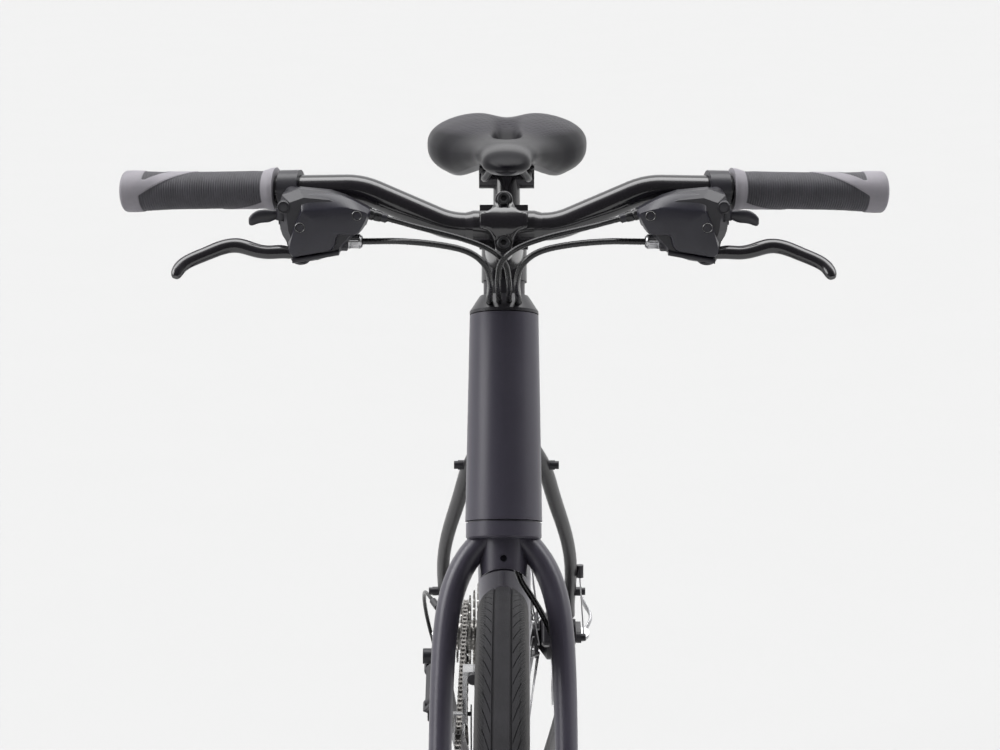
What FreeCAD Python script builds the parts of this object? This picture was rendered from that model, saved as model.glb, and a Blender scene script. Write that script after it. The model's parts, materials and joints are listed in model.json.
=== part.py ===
import FreeCAD, Part
import math
import os

# Stance: front is -Y, the drive side is -X, the origin is on the ground midway between the axles
wheelbase = 1042.0
bottom_bracket_drop = 70.0
stay_clearance = 91.0
head_angle = 71.0
seat_angle = 73.5
crown_clearance = 56.0
fork_offset = 48.0

# Clearances
running_gap = 0.05
touch_gap = 0.3
overrun = 6.0

# Tyre and rim
bead_seat_radius = 311.0
tyre_height = 38.0
tyre_width = 39.0
tyre_wall = 3.0
tread_shoulder_half = 15.5
tread_shoulder_drop = 7.5
tread_groove_half = 6.4
tread_groove_width = 1.5
tread_groove_depth = 1.2
sidewall_height = 19.0
rim_inside_half = 10.4
rim_flange = 1.6
rim_flange_height = 6.0
rim_well_depth = 5.0
rim_well_half = 4.0
rim_wall_depth = 8.0
rim_bed_depth = 19.0
rim_bed_half = 6.0

# Spokes and hubs
spokes_per_side = 16
spoke_crosses = 3
spoke_radius = 1.0
spoke_stand = 2.2
nipple_radius = 2.0
nipple_length = 12.0
rim_hole_offset = 1.5
flange_radius = 22.5
flange_rim = 4.0
flange_thickness = 3.2
hub_barrel_radius = 13.0
hub_end_radius = 12.0
front_hub_width = 100.0
front_right_flange = -34.0
front_left_flange = 22.0
rear_hub_width = 135.0
rear_right_flange = -20.0
rear_left_flange = 33.0
hub_end_inset = 7.0

# Disc rotors
rotor_radius = 80.0
rotor_band = 13.5
rotor_thickness = 1.8
rotor_bore = 17.5
rotor_collar = 11.0
rotor_arms = 6
rotor_arm_radius = 4.5
rotor_arm_lean = 32.0
rotor_vents = 36
rotor_vent_radius = 2.4
rotor_vent_row = 3.0
rotor_boss_radius = 28.0
rotor_screw_circle = 22.0
rotor_screw_radius = 4.0
rotor_screw_height = 2.4
front_rotor_inset = 10.4
rear_rotor_inset = 15.3

# Axles and quick releases
axle_radius = 4.7
locknut_radius = 8.5
skewer_nut_radius = 9.0
skewer_nut_length = 13.0
cam_radius = 8.5
cam_length = 9.0
cam_tongue = 6.0
cam_tongue_radius = 7.0
cam_pin_radius = 2.5
cam_sink = 2.0
release_eye_radius = 4.6
release_root = 5.5
release_length = 56.0
release_bow = 9.0
release_wide = 15.0
release_flare_power = 1.5
release_thick = 5.0
rear_release_angle = 37.0
front_release_angle = 62.0

# Fork
steerer_lower_radius = 19.05
steerer_upper_radius = 14.3
steerer_wall = 2.4
steerer_tail = 45.0
steerer_taper_start = 18.0
steerer_taper_end = 75.0
tail_arch_radius = 30.0
tail_arch_rise = 8.0
crown_collar_radius = 30.5
crown_collar_height = 13.0
crown_collar_shelf = 1.5
crown_race_radius = 28.5
crown_hole_radius = 2.75
crown_hole_drop = 29.0
leg_spread = 48.2
leg_flare = 4.3
leg_bend = 52.0
leg_bend_depth = 29.3
leg_half_wide = 10.5
leg_tip_half_wide = 7.4
leg_half_deep = 14.0
leg_tip_half_deep = 9.5
leg_rake_power = 1.5
leg_top_depth = 8.0
leg_foot_share = 0.93
leg_sections = 18
leg_steps = 400
dropout_thickness = 6.0
fork_tip_radius = 12.0
fork_tip_top_radius = 9.0

# Head tube and headset
head_tube_length = 167.4
head_tube_lower_radius = 31.0
head_tube_upper_radius = 28.0
head_tube_bore = 25.9
head_tube_gap = 1.6
bearing_height = 8.0
upper_bearing_bore = 20.0
cover_gap = 0.8
cover_height = 15.0
cover_top_radius = 20.0
cover_lip = 2.5
spacer_radius = 16.8
spacer_height = 12.0

# Stem
stem_clamp_height = 40.0
stem_clamp_radius = 18.5
stem_reach = 84.4
stem_rise = 10.4
stem_root_half_wide = 15.5
stem_root_half_tall = 17.0
stem_neck_half_wide = 16.0
stem_neck_half_tall = 14.5
bar_clamp_half = 19.0
bar_clamp_wall = 5.5
faceplate_gap = 1.5
faceplate_boss_radius = 6.8
faceplate_boss_thickness = 11.5
stem_bolt_reach = 18.0
stem_bolt_radius = 4.6
stem_bolt_height = 4.5
stem_bolt_socket = 2.2
faceplate_scoop_radius = 13.0
top_cap_height = 5.0
top_cap_radius = 17.0

# Handlebar and grips
bar_half_width = 300.5
bar_radius = 11.1
bar_clamp_radius = 12.7
bar_bulge_half = 24.0
bar_taper_half = 30.0
bar_first_bend = 42.0
bar_second_bend = 112.0
bar_rise = 29.0
bar_knee_sweep = 9.0
bar_end_sweep = 45.7
bar_end_droop = 7.7
bar_bend_radius = 55.0
grip_length = 123.5
grip_radius = 15.6
grip_end_radius = 17.2
grip_end_length = 30.0
grip_inner_radius = 17.6
grip_inner_length = 7.0
grip_cap = 3.5

# Brake lever brackets with shifter pods, measured from the bar inside the band
control_place = 168.0
control_band_half = 8.0
control_band_wall = 4.0
pod_length = 66.0
pod_drop = 55.0
pod_top_rise = 2.5
pod_back = 25.0
pod_front = 49.0
pod_crown = 10.0
pod_crown_share = 0.82
pod_neck_radius = 7.0
pod_outline_shares = [(-0.11, 0.25), (-0.086, 0.52), (0.0, 0.82), (0.075, 1.01), (0.35, 0.96), (0.6, 0.87),
                      (0.78, 0.62), (0.93, 0.45), (0.99, 0.25), (0.68, 0.055), (0.5, -0.015), (0.14, -0.055),
                      (-0.06, 0.03)]
lever_pivot_inset = 10.0
lever_pivot_drop = 42.0
lever_reach = 98.0
lever_half_wide = 5.7
lever_half_deep = 4.7
lever_tip_drop = 54.0
lever_eye_radius = 7.5
lever_eye_half = 5.0
lever_pin_radius = 2.5
lever_room_radius = 17.0
perch_half = 8.0
perch_radius = 8.5
lever_shares = [(0.03, 0.795, 0.95), (0.14, 0.8, 0.98), (0.26, 0.805, 1.0), (0.38, 0.77, 1.04),
                (0.5, 0.722, 1.08), (0.62, 0.745, 1.06), (0.74, 0.82, 1.02), (0.85, 0.895, 1.0),
                (0.93, 0.975, 0.95), (0.965, 1.06, 0.85), (0.975, 1.12, 0.5)]
trigger_hub_radius = 5.5
trigger_thickness = 8.0
trigger_reach = 26.5
trigger_room_radius = 9.5
trigger_half_tall = 5.2
trigger_half_deep = 2.6
trigger_shares = [(0.0, 0.0, 0.65), (0.2, 0.02, 0.68), (0.4, 0.14, 0.94), (0.6, 0.16, 1.0), (0.8, 0.4, 0.98),
                  (0.95, 0.75, 0.75), (1.0, 0.8, 0.4)]
trigger_outset = 4.0
trigger_forward = 36.0
trigger_drop = 15.0
trigger_angle = -12.0
thumb_hub_radius = 9.0
thumb_thickness = 5.0
thumb_reach = 42.0
thumb_tip_radius = 8.0
thumb_inset = 22.0
thumb_forward = 10.0
thumb_drop = 34.0
thumb_angle = 60.0
shift_post_radius = 2.2
shift_lug = 3.0
adjuster_radius = 4.2
adjuster_length = 13.0
adjuster_inset = 45.0
adjuster_drop = 36.0
shift_adjuster_radius = 3.6
shift_adjuster_length = 15.0
shift_adjuster_inset = 62.0
shift_adjuster_drop = 14.0
shift_adjuster_dip = 4.0
control_cable_forward = 36.0
brake_housing_radius = 2.5
shift_housing_radius = 2.2
inner_cable_radius = 0.8
cable_lead = 9.0

# Cable routes: offsets from the bar centre, places down the fork, and offsets from the rear axle
brake_cable_places = [(80.0, -28.0, -7.0), (50.0, -39.0, -8.0), (26.0, -46.0, -12.0), (13.0, -45.0, -23.0),
                      (10.0, -33.0, -38.0), (11.0, -3.0, -52.0), (11.5, 29.0, -62.0), (11.5, 45.0, -69.0)]
left_shift_cable_places = [(62.0, -29.0, 3.0), (34.0, -38.0, -2.0), (10.0, -41.0, -10.0),
                           (-3.0, -36.0, -22.0),
                           (-4.5, -24.0, -38.0), (-4.5, 2.0, -52.0), (-4.0, 29.0, -61.0), (-4.0, 42.0, -67.0)]
right_shift_cable_places = [(-62.0, -25.0, 2.0), (-34.0, -31.0, -4.0), (-11.0, -32.0, -12.0),
                            (2.0, -27.0, -24.0),
                            (4.0, -16.0, -39.0), (4.5, 5.0, -53.0), (4.0, 29.0, -61.0), (4.0, 42.0, -67.0)]
fork_cable_places = [(8.0, 1.0, -26.0), (11.0, 4.0, -42.0), (22.0, 13.0, -57.0), (35.0, 18.5, -78.0),
                     (44.5, 17.0, -104.0), (47.5, 11.5, -135.0), (48.5, 5.0, -175.0), (50.0, -3.5, -220.0),
                     (54.0, -8.0, -262.0)]
shift_loop_places = [(-90.0, -16.0, 53.0), (-96.0, 14.0, 49.0), (-97.0, 44.0, 26.0), (-93.0, 59.0, -4.0),
                     (-86.0, 51.0, -27.0)]
mech_cable_side = 20.0
mech_cable_back = 24.0
mech_cable_rise = 20.0
fork_stop_rise = 32.0

# Frame tubes
seat_tube_length = 440.0
seat_tube_radius = 17.0
top_tube_seat_place = 395.0
top_tube_head_place = 138.0
top_tube_half_wide = 17.0
top_tube_half_tall = 20.0
top_tube_tail_half_wide = 15.0
top_tube_tail_half_tall = 16.5
down_tube_head_place = 54.0
down_tube_half_wide = 22.0
down_tube_half_tall = 25.0
down_tube_tail_half_wide = 24.0
down_tube_tail_half_tall = 22.0
tube_wall = 2.2
shell_radius = 20.5
shell_width = 68.0
shell_bore = 17.0

# Stays and dropouts
seat_stay_place = 400.0
seat_stay_top_half = 17.0
stay_spread = 71.0
seat_stay_radius = 8.0
seat_stay_tip_radius = 6.6
seat_stay_foot_rise = 30.0
seat_stay_foot_lead = 15.0
seat_stay_shares = [(0.0, 0.0, 1.0), (0.06, 0.14, 1.0), (0.14, 0.34, 1.0), (0.24, 0.5, 0.95),
                    (0.34, 0.62, 0.9),
                    (0.5, 0.83, 0.6), (0.66, 0.97, 0.3), (0.8, 1.0, 0.1), (1.0, 1.0, 0.0)]
seat_stay_bridge_share = 0.19
chain_stay_root_half = 21.0
chain_stay_half_wide = 7.0
chain_stay_half_tall = 11.0
chain_stay_tip_half_tall = 7.5
chain_stay_foot_lead = 34.0
chain_stay_foot_drop = 6.0
chain_stay_sections = 11
chain_stay_bridge_share = 0.12
bridge_radius = 6.0
dropout_radius = 15.0
dropout_arm_radius = 8.0
dropout_slot_lead = 30.0
hanger_back = 8.0
hanger_drop = 28.0
hanger_radius = 10.0

# Frame fittings
collar_wall = 4.0
collar_height = 15.0
collar_ear = 9.0
collar_bolt_radius = 2.6
boss_radius = 5.5
boss_height = 4.0
boss_hole_radius = 2.1
boss_spacing = 64.0
down_boss_share = 0.44
seat_boss_place = 210.0
rack_boss_radius = 5.0
rack_boss_length = 5.0
rack_screw_radius = 4.2
rack_screw_height = 4.0
rack_upper_share = 0.16
rack_lower_share = 0.86
stop_radius = 4.0
stop_half = 7.0
rear_stop_share = 0.74
shift_port_share = 0.94

# Seatpost and saddle
post_radius = 13.6
post_insertion = 130.0
post_wall = 2.2
saddle_top_height = 969.0
saddle_setback = 5.6
saddle_length = 268.0
saddle_half_width = 83.0
saddle_skirt = 62.0
saddle_pad = 16.0
saddle_side = 7.0
saddle_shell = 3.0
saddle_channel = 20.0
saddle_channel_half = 15.0
saddle_floor_share = 0.88
saddle_shoulder_share = 0.86
saddle_crown_share = 0.12
saddle_bulge_share = 0.4
saddle_shares = [(0.22, 0.09, 0.5, 0.02), (0.3, 0.025, 0.53, 0.02), (0.32, 0.025, 0.55, 0.05),
                 (0.335, 0.045, 0.57, 0.12), (0.36, 0.075, 0.6, 0.28), (0.42, 0.115, 0.66, 0.5),
                 (0.54, 0.135, 0.76, 0.75), (0.7, 0.135, 0.88, 0.95), (0.88, 0.085, 0.97, 1.0),
                 (0.99, 0.03, 1.0, 0.95), (0.98, 0.0, 0.94, 0.75), (0.7, 0.16, 0.58, 0.3)]
rail_radius = 3.5
rail_half = 22.0
rail_drop = 51.0
rail_nose_half = 7.0
rail_nose_rise = 25.6
rail_tail_half = 30.0
rail_tail_rise = 27.3
rail_flat_half = 58.0
rail_nose_run = 45.0
rail_tail_run = 52.0
rail_bend_radius = 30.0
cradle_radius = 10.0
cradle_half = 28.0
clamp_half_long = 17.0
clamp_height = 5.5
clamp_bolt_radius = 3.0
clamp_bolt_head = 5.0

# Drive
chain_pitch = 12.7
chain_line = 47.6
cog_teeth = [12, 14, 16, 18, 21, 24, 28, 32]
cog_spacing = 4.8
cog_in_use = 3
cog_thickness = 2.0
cog_core_radius = 17.4
cog_bore = 12.3
cog_lock_ring = 2.6
big_ring_teeth = 44
small_ring_teeth = 30
ring_thickness = 2.2
ring_spacing = 6.4
ring_bore = 37.0
ring_bolts = 4
ring_bolt_circle = 46.0
ring_bolt_radius = 4.9
ring_bolt_head = 6.6
ring_bolt_collar = 7.6
ring_window_inner = 57.0
ring_window_outer = 77.0
ring_window_angle = 54.0
roller_radius = 3.88
roller_clearance = 0.17
tooth_rise = 3.2
tooth_tip_half = 0.8
valley_half_angle = 62.0
inner_plate_half = 1.2
plate_thickness = 0.85
plate_gap = 0.1
plate_radius = 4.2
plate_waist = 3.1
pin_radius = 1.8
pin_half = 3.3
pulley_teeth = 11
pulley_thickness = 2.2
pulley_hub_radius = 5.5
pulley_hub_half = 2.6
pulley_bolt_radius = 2.5

# Cranks and pedals
crank_length = 170.0
spindle_radius = 8.4
spindle_half = 61.0
crank_boss_radius = 16.0
crank_boss_inner = 39.0
crank_boss_outer = 68.0
crank_root_x = 60.0
crank_tip_x = 78.0
crank_half_wide = 6.5
crank_root_half_tall = 15.0
crank_tip_half_tall = 11.0
crank_eye_radius = 13.5
crank_bolt_radius = 10.0
crank_bolt_height = 4.0
spider_radius = 9.0
spider_root_radius = 17.0
spider_thickness = 5.3
cup_flange = 2.0
cup_flange_radius = 19.5
pedal_gap = 3.0
pedal_width = 92.0
pedal_length = 74.0
pedal_height = 22.0
pedal_rail = 9.0
pedal_end = 7.0
pedal_barrel = 9.5
pedal_axle_radius = 4.2
pedal_notch_radius = 4.0
pedal_notches = 7

# Front derailleur
band_place = 158.0
band_height = 14.0
band_wall = 3.0
mech_pin_x = 33.0
mech_pin_radius = 2.5
mech_pin_length = 26.0
mech_pin_back = 9.0
mech_cable_gap = 3.5
mech_knuckle_radius = 5.5
mech_lug = 8.0
cage_low_radius_gap = 8.0
cage_depth = 20.0
cage_front_angle = 8.0
cage_back_angle = 46.0
cage_sheet = 1.5
cage_outer_gap = 5.2
cage_inner_gap = 4.2
cage_bridge = 4.0

# Rear derailleur
guide_lead = 33.0
guide_drop = 84.0
link_slope = 36.9
link_slant = 35.0
link_length = 46.0
link_overhang = 19.0
link_half_wide = 7.0
link_half_tall = 8.0
link_pin_radius = 2.5
link_side = 84.0
link_room_angles = [-18.0, -12.0, -6.0, 0.0, 6.0, 12.0, 18.0, 26.0]
knuckle_cheek = 4.0
knuckle_radius = 9.0
knuckle_length = 24.0
cage_reach = 56.0
cage_plate_half = 7.2
cage_plate_radius = 11.0
cage_stub_radius = 4.0
cage_angle_low = 30.0
cage_angle_high = 150.0
cage_steps = 60

# Disc calipers, measured from the caliper centre on the rotor
caliper_radius = 69.0
rear_caliper_angle = 158.0
front_caliper_angle = 26.0
caliper_half_long = 18.0
caliper_half_tall = 18.0
caliper_inboard = 13.0
caliper_edge = 4.0
caliper_slot_half = 4.6
caliper_boss_radius = 13.0
caliper_boss_length = 9.0
caliper_ear = 5.0
caliper_ear_drop = 24.0
caliper_mount_radius = 8.5
caliper_mount_circle = 49.0
caliper_mount_half = 10.0
caliper_bolt_radius = 4.5
caliper_bolt_height = 4.0
pad_half_long = 13.0
pad_half_tall = 9.0
pad_gap = 0.35
arm_hub_radius = 10.0
arm_thickness = 6.0
arm_reach = 36.0
arm_tip_radius = 6.5
arm_anchor_radius = 4.0
arm_anchor_height = 5.0
rear_arm_angle = 175.0
front_arm_angle = 20.0

half = 0.5
full_turn = 360.0
quarter_turn = 90.0
tube_reach_share = 0.45


def point(x, y, z):
    return FreeCAD.Vector(x, y, z)


across = point(1, 0, 0)
upward = point(0, 0, 1)
origin = point(0, 0, 0)

# Main places
wheel_radius = bead_seat_radius + tyre_height
chain_stay_length = wheel_radius + stay_clearance
fork_length = wheel_radius + crown_clearance
rear_axle = point(0, wheelbase * half, wheel_radius)
front_axle = point(0, -wheelbase * half, wheel_radius)
chain_stay_run = math.sqrt(chain_stay_length ** 2 - bottom_bracket_drop ** 2)
bottom_bracket = point(0, rear_axle.y - chain_stay_run, wheel_radius - bottom_bracket_drop)
steer_lean = math.radians(quarter_turn - head_angle)
steer_up = point(0, math.sin(steer_lean), math.cos(steer_lean))
steer_back = point(0, math.cos(steer_lean), -math.sin(steer_lean))
crown_drop = math.sqrt(fork_length ** 2 - fork_offset ** 2)
crown_race = front_axle + steer_back * fork_offset + steer_up * crown_drop
seat_lean = math.radians(quarter_turn - seat_angle)
seat_up = point(0, math.sin(seat_lean), math.cos(seat_lean))
seat_back = point(0, math.cos(seat_lean), -math.sin(seat_lean))
head_tube_top = head_tube_gap + head_tube_length
cover_base = head_tube_top + cover_gap
spacer_base = cover_base + cover_height
stem_base = spacer_base + spacer_height
stem_mid = stem_base + stem_clamp_height * half
stem_top = stem_base + stem_clamp_height


def steer_point(side, back, height):
    return crown_race + across * side + steer_back * back + steer_up * height


def seat_point(side, back, height):
    return bottom_bracket + across * side + seat_back * back + seat_up * height


bar_centre = steer_point(0, -stem_reach, stem_mid + stem_rise)


# A round bar between two points
def rod(start, end, radius):
    return Part.makeCylinder(radius, (end - start).Length, start, end - start)


# A round tube between two points
def ring(start, end, outer_radius, inner_radius):
    lead = (end - start).normalize() * overrun
    return rod(start, end, outer_radius).cut(rod(start - lead, end + lead, inner_radius))


# A turned solid from an outline of radius and height, standing on base along axis
def lathe(outline, base, axis):
    corners = [point(radius, 0, height) for radius, height in outline]
    face = Part.Face(Part.makePolygon(corners + corners[:1]))
    solid = face.revolve(origin, upward, full_turn)
    solid.Placement = FreeCAD.Placement(base, FreeCAD.Rotation(upward, axis))
    return solid


# A shape built about the origin, carried to a base with its own three directions
def carried(shape, base, x_way, y_way, z_way):
    matrix = FreeCAD.Matrix(x_way.x, y_way.x, z_way.x, base.x, x_way.y, y_way.y, z_way.y, base.y,
                            x_way.z, y_way.z, z_way.z, base.z, 0, 0, 0, 1)
    moved = shape.copy()
    moved.Placement = FreeCAD.Placement(matrix)
    return moved


# A closed oval square to a heading, with one axis towards side
def oval(centre, heading, side, half_side, half_other):
    ahead = FreeCAD.Vector(heading).normalize()
    flat = (side - ahead * side.dot(ahead)).normalize()
    other = ahead.cross(flat)
    if half_side == half_other:
        curve = Part.Circle(centre, ahead, half_side)
    elif half_side > half_other:
        curve = Part.Ellipse(centre + flat * half_side, centre + other * half_other, centre)
    else:
        curve = Part.Ellipse(centre + other * half_other, centre + flat * half_side, centre)
    return Part.Wire([curve.toShape()])


# A box from two corners
def block(low, high):
    return Part.makeBox(high.x - low.x, high.y - low.y, high.z - low.z, low)


# A flat link across the bike: two round ends joined by straight tangents
def link_plate(start, end, start_radius, end_radius, first_x, last_x):
    run = end - start
    heading = math.atan2(run.z, run.y)
    lean = math.acos((start_radius - end_radius) / math.hypot(run.y, run.z))

    def edge_point(centre, radius, angle):
        return point(first_x, centre.y + radius * math.cos(angle), centre.z + radius * math.sin(angle))

    first = edge_point(start, start_radius, heading + lean)
    second = edge_point(start, start_radius, heading - lean)
    third = edge_point(end, end_radius, heading - lean)
    fourth = edge_point(end, end_radius, heading + lean)
    edges = [Part.Arc(first, edge_point(start, start_radius, heading + math.pi), second).toShape(),
             Part.LineSegment(second, third).toShape(),
             Part.Arc(third, edge_point(end, end_radius, heading), fourth).toShape(),
             Part.LineSegment(fourth, first).toShape()]
    return Part.Face(Part.Wire(edges)).extrude(across * (last_x - first_x))


# A path of straight runs joined by tangent arcs, as large as the runs allow unless a radius is given
def bent_path(points, bend_radius):
    edges = []
    here = points[0]
    for index in range(1, len(points) - 1):
        corner = points[index]
        back = points[index - 1] - corner
        ahead = points[index + 1] - corner
        half_turn = (math.pi - back.getAngle(ahead)) * half
        radius = bend_radius
        if radius is None:
            radius = tube_reach_share * min(back.Length, ahead.Length) / math.tan(half_turn)
        trim = radius * math.tan(half_turn)
        back.normalize()
        ahead.normalize()
        enter = corner + back * trim
        leave = corner + ahead * trim
        inward = (back + ahead).normalize()
        middle = corner + inward * (radius / math.cos(half_turn) - radius)
        edges.append(Part.LineSegment(here, enter).toShape())
        edges.append(Part.Arc(enter, middle, leave).toShape())
        here = leave
    edges.append(Part.LineSegment(here, points[-1]).toShape())
    return Part.Wire(edges)


# A round bar bent along a path
def bent_bar(points, radius, bend_radius=None):
    path = bent_path(points, bend_radius)
    heading = points[1] - points[0]
    profile = Part.Wire([Part.Circle(points[0], heading, radius).toShape()])
    shell = Part.BRepOffsetAPI.MakePipeShell(path)
    shell.add(profile)
    shell.build()
    shell.makeSolid()
    return shell.shape()


# The same solid on the other side of the bike
def mirrored(shape):
    return shape.mirror(origin, across)


# One solid kept from a cut, the largest
def largest(shape):
    return max(shape.Solids, key=lambda solid: solid.Volume)


# Save one named piece, or a group of separate solids, and count it
pieces = {}


def keep(name, solids):
    shape = solids[0] if len(solids) == 1 else Part.makeCompound(solids)
    pieces[name] = shape
    shape.exportStep("parts/" + name + ".step")


# Tyre casing with a slick centre band between two grooves
def tyre(axle):
    crown_radius = (tread_shoulder_half ** 2 + tread_shoulder_drop ** 2) / (2 * tread_shoulder_drop)

    def crown(lateral):
        return wheel_radius - crown_radius + math.sqrt(crown_radius ** 2 - lateral ** 2)

    def at(lateral, radius):
        return point(lateral, 0, radius)

    flange_top = bead_seat_radius + rim_flange_height + touch_gap
    widest = bead_seat_radius + sidewall_height
    groove_in = tread_groove_half - tread_groove_width * half
    groove_out = tread_groove_half + tread_groove_width * half
    mid_shoulder = (groove_out + tread_shoulder_half) * half
    shoulder = at(tread_shoulder_half, crown(tread_shoulder_half))
    inside_half = tyre_width * half - tyre_wall
    bead_inner = rim_inside_half - tyre_wall
    arch_half = tread_shoulder_half - tyre_wall
    arch_radius = crown(tread_shoulder_half) - tyre_wall

    def side(sign):
        def seen(place):
            return point(sign * place.x, 0, place.z)
        floor = at(groove_out, crown(groove_out) - tread_groove_depth)
        floor_in = at(groove_in, crown(groove_out) - tread_groove_depth)
        return [
            Part.LineSegment(seen(at(bead_inner, bead_seat_radius)),
                             seen(at(rim_inside_half, bead_seat_radius))),
            Part.LineSegment(seen(at(rim_inside_half, bead_seat_radius)),
                             seen(at(rim_inside_half, flange_top))),
            Part.Arc(seen(at(rim_inside_half, flange_top)), seen(at(tyre_width * half, widest)),
                     seen(shoulder)),
            Part.Arc(seen(shoulder), seen(at(mid_shoulder, crown(mid_shoulder))),
                     seen(at(groove_out, crown(groove_out)))),
            Part.LineSegment(seen(at(groove_out, crown(groove_out))), seen(floor)),
            Part.LineSegment(seen(floor), seen(floor_in)),
            Part.LineSegment(seen(floor_in), seen(at(groove_in, crown(groove_in)))),
            Part.LineSegment(seen(at(bead_inner, bead_seat_radius)), seen(at(bead_inner, flange_top))),
            Part.Arc(seen(at(bead_inner, flange_top)), seen(at(inside_half, widest)),
                     seen(at(arch_half, arch_radius)))]

    curves = side(1) + side(-1)
    curves.append(Part.Arc(at(groove_in, crown(groove_in)), at(0, wheel_radius),
                           at(-groove_in, crown(groove_in))))
    curves.append(Part.Arc(at(arch_half, arch_radius), at(0, wheel_radius - tyre_wall),
                           at(-arch_half, arch_radius)))
    edges = Part.sortEdges([curve.toShape() for curve in curves])[0]
    solid = Part.Face(Part.Wire(edges)).revolve(origin, across, full_turn)
    solid.translate(axle)
    return solid


# Rim with a tyre well, side walls and a narrower spoke bed
def rim(axle):
    outer_half = rim_inside_half + rim_flange
    top = bead_seat_radius + rim_flange_height
    wall = bead_seat_radius - rim_wall_depth
    right = [(top, rim_inside_half), (top, outer_half), (wall, outer_half),
             (bead_seat_radius - rim_bed_depth, rim_bed_half)]
    left = [(radius, -along) for radius, along in reversed(right)]
    well = [(bead_seat_radius, -rim_inside_half), (bead_seat_radius - rim_well_depth, -rim_well_half),
            (bead_seat_radius - rim_well_depth, rim_well_half), (bead_seat_radius, rim_inside_half)]
    return lathe(right + left + well, axle, across)


# Crossed spokes with nipples, the outer and inner sets on each flange leaning opposite ways
def spokes(axle, right_flange, left_flange):
    bed_radius = bead_seat_radius - rim_bed_depth
    step = 2 * math.pi / spokes_per_side
    face = flange_thickness * half + running_gap
    solids = []
    for flange, turn, side in ((right_flange, 0, -1), (left_flange, half, 1)):
        for index in range(spokes_per_side):
            lean = 1 if index % 2 else -1
            rim_angle = (index + turn) * step
            hub_angle = rim_angle + lean * spoke_crosses * step
            foot = axle + point(flange + lean * (face + spoke_stand), flange_radius * math.cos(hub_angle),
                                flange_radius * math.sin(hub_angle))
            tip = axle + point(side * rim_hole_offset, bed_radius * math.cos(rim_angle),
                               bed_radius * math.sin(rim_angle))
            axis = tip - foot
            length = axis.Length - touch_gap - running_gap * 2
            outline = [(0, 0), (spoke_radius, 0), (spoke_radius, length - nipple_length),
                       (nipple_radius, length - nipple_length), (nipple_radius, length), (0, length)]
            elbow = rod(foot, foot - across * (lean * spoke_stand), spoke_radius)
            solids.append(lathe(outline, foot, axis).fuse(elbow))
    return solids


# Hub shell turned about its axle, with two spoke flanges and a rotor boss on the left
def hub(axle, width, right_flange, left_flange, rotor_x):
    end = width * half - hub_end_inset
    rim_radius = flange_radius + flange_rim
    bore = axle_radius + running_gap
    face = rotor_x - rotor_thickness * half
    half_flange = flange_thickness * half
    outline = [(bore, -end), (hub_end_radius, -end), (hub_end_radius, right_flange - half_flange),
               (rim_radius, right_flange - half_flange), (rim_radius, right_flange + half_flange),
               (hub_barrel_radius, right_flange + half_flange),
               (hub_barrel_radius, left_flange - half_flange),
               (rim_radius, left_flange - half_flange), (rim_radius, left_flange + half_flange),
               (hub_barrel_radius, left_flange + half_flange),
               (rotor_boss_radius, face - rotor_collar * half),
               (rotor_boss_radius, face), (rotor_bore - running_gap, face),
               (rotor_bore - running_gap, face + rotor_thickness), (hub_end_radius, end), (bore, end)]
    return lathe(outline, axle, across)


# Disc rotor: vented band, leaning arms and a collar, with its screws
def rotor(axle, rotor_x):
    low = rotor_x - rotor_thickness * half
    high = rotor_x + rotor_thickness * half
    start = axle + across * low
    end = axle + across * high
    band_inner = rotor_radius - rotor_band
    collar = rotor_bore + rotor_collar
    disc = ring(start, end, rotor_radius, band_inner).fuse(ring(start, end, collar, rotor_bore))
    for index in range(rotor_arms):
        angle = 2 * math.pi * index / rotor_arms
        lean = angle + math.radians(rotor_arm_lean)
        foot = point(0, math.cos(angle), math.sin(angle)) * (collar - rotor_arm_radius)
        tip = point(0, math.cos(lean), math.sin(lean)) * (band_inner + rotor_arm_radius)
        disc = disc.fuse(link_plate(axle + foot, axle + tip, rotor_arm_radius, rotor_arm_radius, low, high))
    vents = []
    for index in range(rotor_vents):
        angle = 2 * math.pi * index / rotor_vents
        row = rotor_vent_row if index % 2 else -rotor_vent_row
        place = axle + point(low, math.cos(angle) * (rotor_radius - rotor_band * half + row),
                             math.sin(angle) * (rotor_radius - rotor_band * half + row))
        vents.append(rod(place - across * overrun, place + across * overrun, rotor_vent_radius))
    solids = [largest(disc.removeSplitter().cut(Part.makeCompound(vents)))]
    for index in range(rotor_arms):
        angle = 2 * math.pi * (index + half) / rotor_arms
        place = axle + point(high, math.cos(angle) * rotor_screw_circle, math.sin(angle) * rotor_screw_circle)
        solids.append(rod(place, place + across * rotor_screw_height, rotor_screw_radius))
    return solids


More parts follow.
